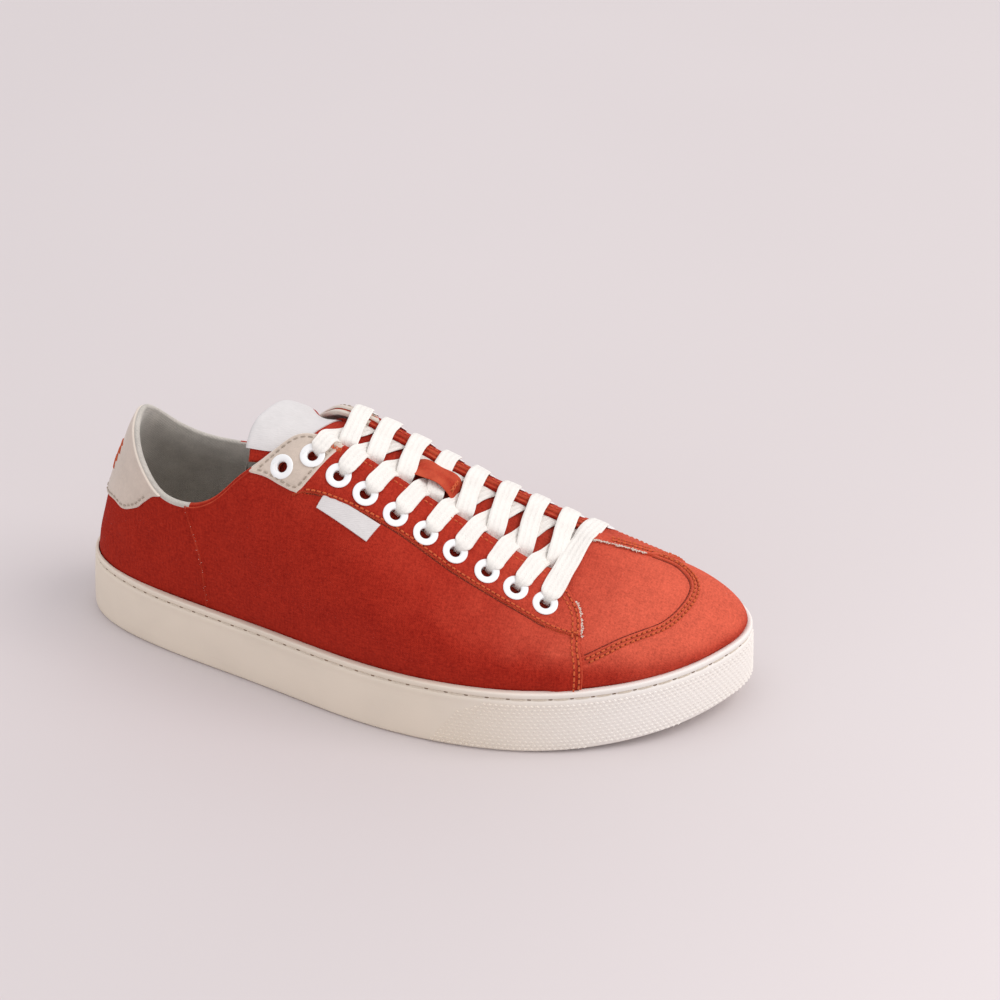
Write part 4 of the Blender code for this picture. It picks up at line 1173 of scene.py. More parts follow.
def build_canvas_seams(sizes):
    """Rust stitches, bar tacks and the zigzag on the heel; returns the needle holes, dark bits of
    painted shade.
    """
    panel, guard, r = sizes.panel_thickness, sizes.mudguard_thickness, sizes.thread_radius
    stay = panel + sizes.stay_thickness
    rust, holes = [], []

    def over_quarter(t, v):
        return tuck(t, v, guard) + panel - STITCH_SINK

    seam = [row for row in MUDGUARD_EDGE if 16.9 < row[0] < 20.31]
    for offset, start in ((-1.4, 0.0), (-3.1, 0.5)):
        rust.append(stitch_row(seam, offset, guard, 2.3, r * 1.15, start, fill=0.86, holes=holes))
    for seam, way, corner in ((OUTER_FRONT_SEAM, 1.0, 0.55), (INNER_FRONT_SEAM, -1.0, 0.53)):
        for offset, start in ((1.5, 0.0), (3.6, 0.5)):
            for lift, low, high in ((over_quarter, 0.0, corner),
                                    (stay - STITCH_SINK, corner, 0.93)):
                rust.append(stitch_row(seam, way * offset, lift, 2.4, r * 1.05, start, fill=0.84,
                                       low=low, high=high, holes=holes))
    for rows, way in ((OUTER_STAY_EDGE, 1.0), (INNER_STAY_EDGE, -1.0)):
        rust.append(stitch_row(rows[1:], way * 1.2, stay - STITCH_SINK, 2.3, r, fill=0.86,
                               holes=holes))
    for start, end, way in ((11.9, 16.3, -1.0), (26.3, 21.0, 1.0)):
        rows = [(start + (end - start) * k / 8, 0.985) for k in range(9)]
        rust.append(stitch_row(rows, way * 1.6, stay - STITCH_SINK, 2.4, r * 0.8))
    rust += [bar_tack(11.30, 0.955, stay), bar_tack(26.95, 0.955, stay),
             heel_zigzag(sizes.suede_thickness)]
    build_piece("rust_stitching", merged(rust), "rust thread")
    return holes


def build_suede_seams(sizes):
    suede, r = sizes.suede_thickness, sizes.thread_radius * 0.75
    heel = stitch_row(both_sides(HEEL_PATCH_HALF[:-1]), 1.8, suede - STITCH_SINK, 2.9, r, fill=0.72)
    build_piece("heel_stitching", heel, "suede thread")
    lift = sizes.panel_thickness + suede + PATCH_LIFT - STITCH_SINK
    tan = [stitch_row(patch_outline(side, way * 1.8 * MM), 0.0, lift, 2.9, r, fill=0.72)
           for side, way in (("outer", 1.0), ("inner", -1.0))]
    build_piece("tan_stitching", merged(tan), "tan thread")


def build_painted_shade(sizes, holes):
    """Painted shade: dark lines in the creases where the mudguard and the eyestays end, and the
    dark needle holes.
    """
    cords = []
    for seam, offset, lift in (
            (MUDGUARD_EDGE[1:-3], 0.35, 0.0), (OUTER_STAY_EDGE[1:-1], -0.35, sizes.panel_thickness),
            (INNER_STAY_EDGE[1:-1], 0.35, sizes.panel_thickness)):
        t, v = beside(seam, offset * MM, 260)
        cords.append(swept_cord(cloth(t, v, lift - 0.02 * MM), 0.19 * MM, 6))
    build_piece("seam_crease_shade", merged(cords), "needle hole shade")
    build_piece("needle_hole_shade", merged(holes), "needle hole shade")


def build_loose_yarn(sizes):
    """Frays at the front and collar seams, and the raw edges of the strips."""
    panel = sizes.panel_thickness
    half = (panel + sizes.stay_thickness) * 0.5
    raw = panel + 0.2 * MM
    fray = [
        frayed(OUTER_FRONT_SEAM, half, 0.16, 1.3, 0.19, 3, 0.54, 0.80),
        frayed(INNER_FRONT_SEAM, half, 0.15, 1.2, 0.19, 4, 0.74, 0.99),
        frayed(OUTER_COLLAR_SEAM, panel * 0.4, 1.6, 0.9, 0.07, 5),
        frayed(INNER_COLLAR_SEAM, panel * 0.4, 1.6, 0.9, 0.07, 6),
    ]
    build_piece("frayed_yarn", merged(fray), "pale thread")
    edges = [
        frayed(OUTER_STAY_EDGE, raw, 0.5, 0.9, 0.09, 7),
        frayed(INNER_STAY_EDGE, raw, 0.5, 0.9, 0.09, 8),
        frayed(MUDGUARD_EDGE[1:-3], 0.5 * MM, 0.9, 0.8, 0.08, 9),
    ]
    build_piece("raw_edges", merged(edges), "rust thread")


def build_welts():
    """Raised seams of the canvas at collar and heel, and of the lining."""
    seams = []
    for seam in (OUTER_COLLAR_SEAM, INNER_COLLAR_SEAM):
        t, v = smooth_path(seam, 160).T
        seams.append(swept_cord(cloth(t, v, 0.30 * MM), 0.38 * MM))
    seams.append(swept_cord(cloth(0.0, np.linspace(-0.05, 0.42, 60), 0.05 * MM), 0.45 * MM))
    points, faces = merged(seams)
    # The welts count as lying near an edge, so they take the paler edge colour: wear and a painted
    # highlight on the ridge.
    worn_and_lit = np.tile([0.45 * MM, 0.0], (len(points), 1))
    build_piece("seam_welts", (points, faces, worn_and_lit), "canvas")
    v = np.linspace(0.05, 0.96, 80)
    inner = [swept_cord(wall_point(t, v) - wall_normal(t, v) * (WALL + 0.55 * MM), 0.4 * MM)
             for t in (0.0, 32.9)]
    build_piece("lining_seams", merged(inner), "lining")


# Sole ------------------------------------------------------------------
TREAD_EDGE = 1.5 * MM
SIDE_TOP = 5.4 * MM
SIDE_HOLLOW = 0.25 * MM
SIDE_LEAN = 1.1 * MM
HEEL_LEAN = 1.5 * MM
GROOVE_DROP = 3.0 * MM
GRIP_ROWS = 14
GRIP_TOP = 5.9 * MM
GRIP_ROW = 1.75 * MM
GRIP_PITCH = 2.4 * MM
GRIP_HALF_WIDTH = 1.16 * MM
GRIP_HALF_HEIGHT = 0.84 * MM
GRIP_ROOT = 0.25 * MM
GRIP_RISE = 0.45 * MM
GRIP_TOP_SHARE = 0.55
# Sole stitches: pitch at the heel, how much it grows to the toe, and each bit's ends.
SOLE_PITCH = 6.6
SOLE_PITCH_GROWTH = 2.0
SOLE_THREAD_END = 0.9 * MM
AWL_HOLE_END = 0.85 * MM
CUT_DEPTH = 2.0 * MM
# Inset and drop under the rim, millimetres: down the groove, over the rim and into the cup.
GROOVE = (
    (-0.12, 4.9), (0.0, 4.5), (0.0, 4.0), (0.12, 3.75), (0.45, 3.5), (0.66, 3.2),
    (0.66, 2.8), (0.45, 2.5), (0.14, 2.25), (0.02, 2.05), (0.0, 0.75), (0.06, 0.45),
    (0.22, 0.18), (0.46, 0.05), (0.75, 0.0), (1.3, 0.03),
)
CUP_LIP = ((3.6, 0.05), (3.85, 0.2), (3.97, 0.5), (4.0, 0.9))
# Heel-ward limit of the toe grip: height and x, millimetres.
GRIP_LIMIT = ((0.0, 29.5), (3.5, 31.4), (10.0, 34.9), (17.5, 41.1), (22.5, 48.3), (25.5, 60.0))
# Channels across the tread, the wide one under the arch: x, half width, side margin.
ARCH = (-34.0, 22.0, 18.0)
TREAD_CHANNELS = [(x, 1.6, 9.0) for x in (-112.0, -92.0, 8.0, 28.0, 48.0, 68.0, 88.0, 107.0)]
TREAD_CHANNELS.insert(2, ARCH)
# Inset and rise of the footbed's edge and top, millimetres.
FOOTBED_EDGE = (
    (1.0, 0.0), (0.3, 0.3), (0.0, 1.0), (0.0, 3.0), (0.0, 5.6), (0.15, 6.2), (0.5, 6.6),
    (1.1, 6.75), (1.8, 6.6), (2.8, 6.0), (4.2, 5.1), (6.0, 4.5), (8.0, 4.2), (11.0, 4.0),
    (14.0, 4.0),
)


def draft(x, height):
    """Lean of the sidewall towards the shoe at a height over the ground."""
    foot = toe_spring(x) + 2.0 * MM
    share = np.clip((height - foot) / (rim_height(x) - foot), 0.0, 1.0)
    return (SIDE_LEAN + HEEL_LEAN * (1.0 - ramp(x, -140 * MM, -95 * MM))) * share


def sole_ring(t, inset, height, rise=0.0):
    """Ring round the sole, some rise above a height that changes along the shoe."""
    plan = sole_edge(t, inset)
    return np.concatenate([plan, height(plan[:, :1]) + rise], axis=1)


def sidewall(t):
    """Rings of the sole from the tread up, leaning in towards the rim, and into the cup."""
    edge = sole_edge(t)
    x = edge[:, :1]
    ground, rim = toe_spring(x), rim_height(x)
    rows = []
    for turn in np.linspace(0.0, math.pi / 2, 6):
        rows.append((TREAD_EDGE * (1.0 - math.sin(turn)),
                     ground + TREAD_EDGE * (1.0 - math.cos(turn))))
    for share in np.linspace(0.08, 1.0, 9):
        level = (ground + TREAD_EDGE) * (1.0 - share) + (rim - SIDE_TOP) * share
        rows.append((-SIDE_HOLLOW * math.sin(math.pi * share), level))
    rows += [(inset * MM, rim - drop * MM) for inset, drop in GROOVE]
    inward = sole_edge(t, 1 * MM) - edge
    rings = [np.concatenate([edge + inward * ((inset + draft(x, level)) / MM), level], axis=1)
             for inset, level in rows]
    rings += [sole_ring(t, inset * MM, rim_height, -drop * MM) for inset, drop in CUP_LIP]
    return rings + [sole_ring(t, RIM_WIDTH, cup_floor)]


def tread_cutter():
    parts = []
    plan = sole_edge(np.linspace(0.0, STATIONS, 3401))
    for x, half, margin in TREAD_CHANNELS:
        near = np.abs(plan[:, 0] - x * MM) < 2 * MM
        low, high = plan[near, 1].min() + margin * MM, plan[near, 1].max() - margin * MM
        level = toe_spring(x * MM) - CUT_DEPTH
        corners = [(x * MM + half * MM * sx, y, level + 2.0 * CUT_DEPTH * sz)
                   for sz in (-1, 1) for sx, y in ((-1, low), (1, low), (1, high), (-1, high))]
        parts.append((corners, tube_faces(2, 4)))
    return linked("tread_cutter", solid_mesh("tread cutter", *merged(parts)))


def sole_line():
    """Running length, place and outward direction finely round the sole edge."""
    t = np.linspace(0.0, STATIONS, 6001)
    plan = sole_edge(t)
    return lengths(plan), plan, unit(plan - sole_edge(t, 1 * MM))


def toe_grip():
    """Low diamonds in brick rows round the side of the toe."""
    run, plan, out = sole_line()
    parts = []
    limit_z, limit_x = np.array(GRIP_LIMIT).T * MM
    for row in range(GRIP_ROWS):
        at = np.arange(GRIP_PITCH * (0.5 if row % 2 else 0.0), run[-1], GRIP_PITCH)
        x, y, nx, ny = read_off(at, run, *plan.T, *out.T)
        z = rim_height(x) - (GRIP_TOP + GRIP_ROW * row)
        keep = (x > np.interp(z - toe_spring(x), limit_z, limit_x)) & (z > toe_spring(x) + 1.3 * MM)
        away = np.stack([nx, ny, 0.0 * nx], axis=1)[keep, None]
        side = np.stack([-ny, nx, 0.0 * nx], axis=1)[keep, None]
        centre = np.stack([x, y, z], axis=1)[keep, None]
        centre = centre - away * draft(x, z)[keep, None, None]
        up = np.broadcast_to([0.0, 0.0, GRIP_HALF_HEIGHT], side.shape)
        side = side * GRIP_HALF_WIDTH
        ring = np.concatenate([side, up, -side, -up], axis=1)
        diamond = np.concatenate([centre + ring - away * GRIP_ROOT,
                                  centre + ring * GRIP_TOP_SHARE + away * GRIP_RISE], axis=1)
        parts.append(repeated(diamond, tube_faces(2, 4)))
    return merged(parts)


def sole_stitches():
    """Thread lengths and awl holes in the groove under the rim; the awl holes are dark bits of
    painted shade.
    """
    run, plan, out = sole_line()
    at = [0.0]
    while at[-1] < run[-1] - 5.0 * MM:
        x = np.interp(at[-1], run, plan[:, 0])
        growth = SOLE_PITCH_GROWTH * float(ramp(x, -60 * MM, 60 * MM))
        at.append(at[-1] + (SOLE_PITCH + growth) * MM)
    at = np.array(at[:-1])

    def groove(s, inset):
        x, y, nx, ny = read_off(s % run[-1], run, *plan.T, *out.T)
        p, n = np.stack([x, y], 1), np.stack([nx, ny], 1)
        level = rim_height(p[:, :1]) - GROOVE_DROP
        spot = np.concatenate([p - n * (inset * MM + draft(p[:, :1], level)), level], 1)
        return spot, np.concatenate([n, np.zeros((len(s), 1))], 1)

    step = np.append(np.diff(at), 7.0 * MM)
    starts, normal = groove(at + SOLE_THREAD_END, 0.60)
    ends, _ = groove(at + step - SOLE_THREAD_END, 0.60)
    thread = thread_bits(starts, ends, normal, 0.42 * MM, lifts=SOLE_THREAD_LIFTS)
    # Awl holes: dark bits of painted shade in the groove.
    starts, normal = groove(at - AWL_HOLE_END, 0.62)
    ends, _ = groove(at + AWL_HOLE_END, 0.62)
    return thread, thread_bits(starts, ends, normal, 0.25 * MM, lifts=AWL_HOLE_LIFTS)


def build_sole():
    shape = capped_stack(sidewall(paired_stations(460)))
    cut([build_piece("cupsole", shape, "rubber", nodes=["sole"], sharp=50.0)], tread_cutter())
    build_piece("toe_grip", toe_grip(), "rubber", sharp=20.0)
    thread, holes = sole_stitches()
    build_piece("sole_thread", thread, "sole thread")
    build_piece("sole_awl_hole_shade", holes, "awl hole shade")


def build_footbed():
    """Lined footbed with a raised edge, lying in the cup of the sole."""
    t = paired_stations(260)
    rim = RIM_WIDTH + GAP + WALL + 1.4 * MM
    rings = [sole_ring(t, rim + inset * MM, lambda x: cup_floor(x) + GAP, rise * MM)
             for inset, rise in FOOTBED_EDGE]
    build_piece("footbed", capped_stack(rings), "lining", nodes=["insole"], sharp=60.0)


# Tongue ----------------------------------------------------------------
WING_HEIGHTS = (0.72, 0.83, 0.94)
BRIDGE_SHARES = (0.1, 0.3, 0.5, 0.7, 0.9)
TONGUE_DROP = 3.3 * MM
TONGUE_THICKNESS = 2.5 * MM
TONGUE_FINE = 10
# Wings behind the ankle patches, and how far from an edge their cloth counts.
WING_GAP = 1.5 * MM
WING_THICKNESS = 1.4 * MM
WING_PLACE = 5.0 * MM
LABEL_LIFT = 0.55 * MM
LABEL_ROOT = 0.06 * MM
LABEL_ROWS = slice(86, None)
LABEL_COLUMNS = slice(8, 91)


def tongue_grid():
    """Fine grid of the tongue's upper side, toe to top, and its normals."""
    rows = []
    for outer_t, inner_t in THROAT_PAIRS:
        row = [wall_point(outer_t, v) for v in WING_HEIGHTS]
        row += [across_throat(outer_t, inner_t, w) for w in BRIDGE_SHARES]
        row += [wall_point(inner_t, v) for v in reversed(WING_HEIGHTS)]
        rows.append(np.array(row))
    rows.insert(0, rows[0] + (rows[0] - rows[1]) * 0.55)
    drop = [TONGUE_DROP + 1.2 * MM] + [TONGUE_DROP] * len(THROAT_PAIRS)
    share = np.linspace(-1.0, 1.0, rows[0].shape[0])
    for x, y, z, reach_out, reach_in, fall_out, fall_in, skew in TONGUE_TOP:
        reach = np.where(share < 0, reach_out, reach_in)
        fall = np.where(share < 0, fall_out, fall_in)
        hook = 2.2 * np.maximum(-share, 0.0) ** 3
        row = [x + skew * share + hook, y + reach * share, z - fall * np.abs(share) ** 2.4]
        rows.append(np.stack(row, axis=1) * MM)
        drop.append(0.0)
    grid = smooth_path(rows, (len(rows) - 1) * TONGUE_FINE + 1)
    grid = smooth_path(grid.transpose(1, 0, 2), 10 * TONGUE_FINE + 1).transpose(1, 0, 2)
    drop = smooth_path(np.array(drop)[:, None], len(grid))
    normal = upward_normals(grid)
    return grid - normal * (drop - relief(grid) * 1.2)[..., None], normal


def upward_normals(grid):
    normal = unit(np.cross(np.gradient(grid, axis=1), np.gradient(grid, axis=0)))
    return normal * np.sign(normal[..., 2:3])


def tongue_wing(ankle, toe):
    """Edge of the tongue lying behind the patch at the ankle end of the mouth."""
    share, rise = np.meshgrid(np.linspace(0.0, 1.0, 26), np.linspace(0.0, 1.0, 18))
    t = ankle + (toe - ankle) * share
    foot = 0.68 + 0.22 * (1.0 - ramp(share, 0.0, 0.45)) ** 2
    v = foot + (0.955 - foot) * rise
    if toe < ankle:
        t, v = t[:, ::-1], v[:, ::-1]
    normal = wall_normal(t, v)
    face = wall_point(t, v) - normal * (WALL + WING_GAP)
    return (*closed_sheet(face, face - normal * WING_THICKNESS),
            np.full((2 * t.size, 2), WING_PLACE))


def doubled(gap):
    """Place on the cloth of both sides of a sheet, from the distance to its edge."""
    return np.tile(np.stack([gap, gap], -1).reshape(-1, 2), (2, 1))


def build_tongue():
    top, normal = tongue_grid()
    gap = edge_gap(top, [top[:, 0], top[:, -1], top[-1]])
    half = TONGUE_THICKNESS / 2
    round_off = half * (1.0 - np.sqrt(1.0 - (1.0 - np.clip(gap / half, 0.0, 1.0)) ** 2))
    middle = top - normal * half
    upper = middle + normal * (half - round_off)[..., None]
    under = middle - normal * (half - round_off + 0.02 * MM)[..., None]
    body = (*closed_sheet(upper, under), doubled(gap))
    parts = [body, tongue_wing(8.75, 11.4), tongue_wing(29.15, 26.5)]
    build_piece("tongue_cloth", merged(parts), "canvas", nodes=["tongue"])


def build_tongue_label():
    """Bare satin label wrapped over the top of the tongue."""
    face, up = (grid[LABEL_ROWS, LABEL_COLUMNS] for grid in tongue_grid())
    out = unit(face[-1] - face[-3])
    half = TONGUE_THICKNESS / 2
    middle = face[-1] - up[-1] * half - out * 1.0 * MM

    def side_of(gap):
        rows = [p + n * gap for p, n in zip(face[:-1], up[:-1])]
        reach = half + gap
        for turn in np.linspace(0.5 * math.pi, -0.5 * math.pi, 9):
            rows.append(middle + up[-1] * reach * math.sin(turn)
                        + out * (reach * math.cos(turn) + 1.0 * MM))
        rows += [face[-1 - k] - up[-1 - k] * (TONGUE_THICKNESS + gap) for k in (2, 5, 8, 11)]
        return np.array(rows)

    outer, inner = side_of(LABEL_LIFT), side_of(LABEL_ROOT)
    gap = edge_gap(outer, [outer[0], outer[:, 0], outer[:, -1]])
    build_piece("tongue_label_satin", (*closed_sheet(outer, inner), doubled(gap)), "satin",
                nodes=["tongue_label"])


# Eyelets and lace ------------------------------------------------------
# Distance from the axis and height over the cloth round an eyelet's section.
EYELET_PROFILE = (
    (2.24, -1.25), (2.50, -1.30), (2.64, -1.15), (2.64, -0.05), (3.60, 0.00), (4.85, 0.02),
    (5.10, 0.10), (5.18, 0.25), (5.06, 0.41), (4.72, 0.54), (4.20, 0.60), (3.55, 0.58),
    (2.98, 0.46), (2.60, 0.25), (2.36, -0.05), (2.25, -0.45),
)
EYELET_LOOPS = 44
THROAT_UP = unit(np.array([0.47, 0.0, 0.88]))
# Height of a crossing over the throat, from the lip it comes out under to the
# lip it lies on, for the crossing on top and for the one below it.
OVER_SHARES = (0.05, 0.16, 0.32, 0.50, 0.70, 0.86)
OVER_LIFTS = (-2.2, 0.2, 0.5, 0.0, 0.0, 1.2)
UNDER_SHARES = (0.08, 0.28, 0.50, 0.68, 0.82, 0.92)
UNDER_LIFTS = (-2.5, -2.5, -2.4, -1.8, -0.7, 0.9)
# The last reach of a lace to its hole: distance from the middle of the hole,
# height over the eyelet's seat, and shares of the full width and thickness.
LACE_DIVE = (
    (7.2, 0.70, 1.00, 1.00), (5.9, 0.92, 1.00, 1.00), (4.6, 1.24, 0.96, 1.05),
    (3.6, 1.15, 0.86, 1.10), (2.9, 0.80, 0.66, 1.10), (2.30, 0.05, 0.50, 1.00),
    (2.00, -0.90, 0.42, 1.00), (1.85, -2.40, 0.38, 1.00), (1.85, -4.00, 0.38, 1.00),
)
# Keeper loop over the throat: x and height, millimetres.
KEEPER = (
    (24.8, -2.6), (24.0, -2.2), (22.3, -0.7), (20.0, 0.3), (17.0, 0.7), (13.5, 0.6), (10.6, 0.2),
    (8.8, -0.3), (7.6, -1.0), (6.8, -1.8),
)
KEEPER_WIDTH = 12.2
KEEPER_THICKNESS = 1.0
KEEPER_WEAR_AND_LIGHT = 0.06
KEEPER_STITCH_LIFT = 0.60 * MM


def build_eyelets(sizes):
    """Twenty enamelled eyelets turned from one profile."""
    angle = (2.0 * math.pi * np.arange(EYELET_LOOPS) / EYELET_LOOPS)[:, None]
    r, h = np.array(EYELET_PROFILE).T * MM
    ring = np.stack([np.cos(angle) * r, np.sin(angle) * r, h + 0.0 * angle], axis=-1)
    faces = grid_faces(EYELET_LOOPS, len(h), close_rows=True, close_cols=True)
    shared = None
    for name, t, v, seat in eyelet_spots(sizes):
        centre, side, rise, axis = eyelet_frame(t, v)
        nodes = ["eyelet_" + name]
        if shared is None:
            piece = build_piece("eyelet_ring_" + name, (ring, faces), "enamel", nodes=nodes)
            shared = piece.data
        else:
            piece = fixed(linked("eyelet_ring_" + name, shared), nodes)
        turn = np.eye(4)
        turn[:3] = np.stack([side, rise, axis, centre + axis * (seat + 0.02 * MM)], axis=1)
        piece.matrix_world = Matrix(turn.tolist())


def flat_band(path, across, width, thick, samples, seed, rib=0.0):
    """Soft flat band along control points, with its width and thickness."""
    rows = np.concatenate([path / MM, across, width[:, None], thick[:, None]], axis=1)
    coarse = smooth_path(rows, samples * 4)
    run = lengths(coarse[:, :3])
    even = np.linspace(0.0, run[-1], samples)
    fine = np.stack(read_off(even, run, *coarse.T), axis=1)
    centre, side = fine[:, :3] * MM, fine[:, 3:6]
    along = unit(np.gradient(centre, axis=0))
    side = unit(side - along * np.sum(side * along, axis=1, keepdims=True))
    up = np.cross(side, along)
    phase = np.random.RandomState(seed).uniform(0.0, 6.28, 4)
    tilt = 0.06 * np.sin(even * 0.23 + phase[0]) + 0.04 * np.sin(even * 0.51 + phase[1])
    turn, lean = np.cos(tilt)[:, None], np.sin(tilt)[:, None]
    side, up = side * turn + up * lean, up * turn - side * lean
    wide = fine[:, 6] * (1.0 + 0.03 * np.sin(even * 0.4 + phase[2])) * MM
    u = -np.cos(np.linspace(0.0, math.pi, 15))
    crown = np.sqrt(np.maximum(1.0 - u**6, 0.0))
    crown = crown * (1.0 - rib * np.exp(-(((np.abs(u) - 0.50) / 0.12) ** 2)))
    loop_u = np.concatenate([u, u[-2:0:-1]])
    loop_h = np.concatenate([crown, -crown[-2:0:-1]]) / 2
    points = (centre[:, None] + side[:, None] * (wide / 2)[:, None, None] * loop_u[:, None]
              + up[:, None] * (fine[:, 7] * MM)[:, None, None] * loop_h[:, None])
    uv = np.stack([loop_u * (wide / 2)[:, None], (even * MM)[:, None] + 0.0 * loop_u], axis=-1)
    return points.reshape(-1, 3), tube_faces(samples, len(loop_u)), uv.reshape(-1, 2)


class LacingBed:
    """Ground the lace lies on: both facings and the throat between them."""

    def __init__(self):
        outer_t, inner_t = smooth_path(THROAT_PAIRS + ((10.1, 27.9),), 150).T[:, :, None]
        v = np.linspace(0.70, 1.0, 24)[None, :]
        w = np.linspace(0.0, 1.0, 41)[None, 1:-1]
        grid = np.concatenate([wall_point(outer_t, v), across_throat(outer_t, inner_t, w),
                               wall_point(inner_t, v[:, ::-1])], axis=1)
        zone = np.repeat([0, 1, 2], [24, 39, 24])
        self.grid, self.normal = grid.reshape(-1, 3), upward_normals(grid).reshape(-1, 3)
        self.zone = np.tile(zone, len(grid))

    def at(self, plan):
        """Points and normals of the ground at plan points, and the zone each is in."""
        apart = np.sum((self.grid[None, :, :2] - plan[:, None]) ** 2, axis=-1)
        near = np.argpartition(apart, 4, axis=1)[:, :4]
        share = 1.0 / (np.take_along_axis(apart, near, 1) + (0.3 * MM) ** 2)
        share = share / share.sum(axis=1, keepdims=True)
        point, up = self.grid[near], self.normal[near]
        fall = np.sum(up[..., :2] * (plan[:, None] - point[..., :2]), axis=-1) / up[..., 2]
        z = np.sum(share * (point[..., 2] - fall), axis=1, keepdims=True)
        normal = unit(np.sum(share[..., None] * up, axis=1))
        return np.concatenate([plan, z], axis=1), normal, self.zone[np.argmin(apart, axis=1)]


class LaceRun:
    """Run of lace, straight in plan, from an outer hole to an inner one.

    A point of it goes with its upward direction and its shares of the lace's
    full width and thickness, as one row of eight numbers.
    """

    def __init__(self, bed, outer_row, inner_row):
        self.bed = bed
        self.start = wall_point(outer_row[1], outer_row[2])[:2]
        self.end = wall_point(inner_row[3], inner_row[4])[:2]
        self.total = float(np.linalg.norm(self.end - self.start))
        s = np.linspace(0.0, self.total, 240)
        zone = self.spot(s)[2]
        self.lip, self.far_lip = s[np.argmax(zone > 0)], s[np.argmax(zone > 1)]

    def spot(self, s):
        """Points, upward directions and zones at plan distances s from the outer hole."""
        return self.bed.at(self.start + (self.end - self.start) * (s / self.total)[:, None])

    def rows(self, s, lifts):
        point, up, _ = self.spot(s)
        raised = point + up * lifts(point)[:, None]
        return np.concatenate([raised, up, np.ones((len(s), 2))], axis=1)

    def reach(self, inner, seat, sizes):
        """Lace lying on a facing and going down the throat side of its hole."""
        lip = self.total - self.far_lip if inner else self.lip
        away = np.array([0.0, lip - 0.4 * MM, 8.0 * MM])
        (hole, near, ahead), ups, _ = self.spot(self.total - away if inner else away)
        axis = ups[0]
        toward = ahead - hole
        toward = unit(toward - axis * np.dot(toward, axis))
        ease = (0.12 + seat / MM + sizes.lace_thickness / MM / 2) * MM
        first = [*(near + ups[1] * (ease + relief(near))), *ups[1], 1.0, 1.0]
        level = float(relief(hole)) + seat
        down = [[*(hole + toward * out * MM + axis * (level + rise * MM)), *axis, wide, thick]
                for out, rise, wide, thick in LACE_DIVE]
        return np.array([first] + down)


def banded(rows, sizes, samples, seed, first=0, last=5):
    """Lace band along rows; the first and last few go down a hole without turning."""
    across = unit(np.cross(rows[:, 3:6], unit(np.gradient(rows[:, :3], axis=0))))
    across[:first] = across[first]
    across[-last:] = across[-last - 1]
    return flat_band(rows[:, :3], across, rows[:, 6] * sizes.lace_width / MM,
                     rows[:, 7] * sizes.lace_thickness / MM, samples, seed, rib=0.10)


def lace_crossing(bed, outer_row, inner_row, seat, on_top, sizes, seed):
    """Lace from under one facing to a hole in the other, on top or below its pair."""
    run = LaceRun(bed, outer_row, inner_row)
    shares, heights = (OVER_SHARES, OVER_LIFTS) if on_top else (UNDER_SHARES, UNDER_LIFTS)
    hidden = run.lip if on_top else run.total - run.far_lip
    bridge = hidden + np.array(shares) * (run.far_lip - run.lip)
    away = np.concatenate([[2.0 * MM, 0.5 * hidden, hidden - 0.6 * MM], bridge])

    def lifts(point):
        lift = np.concatenate([[-2.7, -2.7, -2.7], heights]) * MM
        if on_top:
            lift = lift - 0.9 * MM * np.exp(-(((point[:, 0] - 16 * MM) / (7 * MM)) ** 2))
        return lift + relief(point)

    rows = run.rows(away if on_top else run.total - away, lifts)
    rows = np.concatenate([rows, run.reach(on_top, seat, sizes)])
    if not on_top:
        near = np.linalg.norm(rows[:, :2] - run.start, axis=1)
        bow = ramp(near, 3 * MM, 11 * MM) * (1.0 - ramp(near, 14 * MM, 28 * MM))
        rows[:, 0] -= 1.4 * MM * bow
    return banded(rows, sizes, 92, seed)


def lace_bar(bed, sizes):
    """Straight bar across the foot of the throat, down a hole at each end."""
    run = LaceRun(bed, EYELETS[0], EYELETS[0])
    seat = eyelet_seat(1, sizes)
    middle = run.rows(run.lip + np.array([0.20, 0.40, 0.60, 0.80]) * (run.far_lip - run.lip),
                      lambda _: np.array([1.3, 0.6, 0.6, 1.3]) * MM)
    rows = np.concatenate([run.reach(False, seat, sizes)[::-1], middle,
                           run.reach(True, seat, sizes)])
    rows[:, 6] *= 1.12
    return banded(rows, sizes, 96, 11, first=5)


def build_lace(sizes):
    """Flat cotton lace: a bar, eight pairs of crossings and their ends down the holes."""
    bed = LacingBed()
    bands = [lace_bar(bed, sizes)]
    laced = EYELETS[:LACED_ROWS]
    for low, high in zip(laced[:-1], laced[1:]):
        seat = eyelet_seat(high[0], sizes)
        bands.append(lace_crossing(bed, low, high, seat, True, sizes, 20 + low[0]))
        bands.append(lace_crossing(bed, high, low, seat, False, sizes, 40 + low[0]))
    build_piece("lace_crossings", merged(bands[:-2]), "cotton", nodes=["lace"], sharp=70.0)
    build_piece("lace_top_crossing", merged(bands[-2:]), "cotton", nodes=["lace_top"], sharp=70.0)


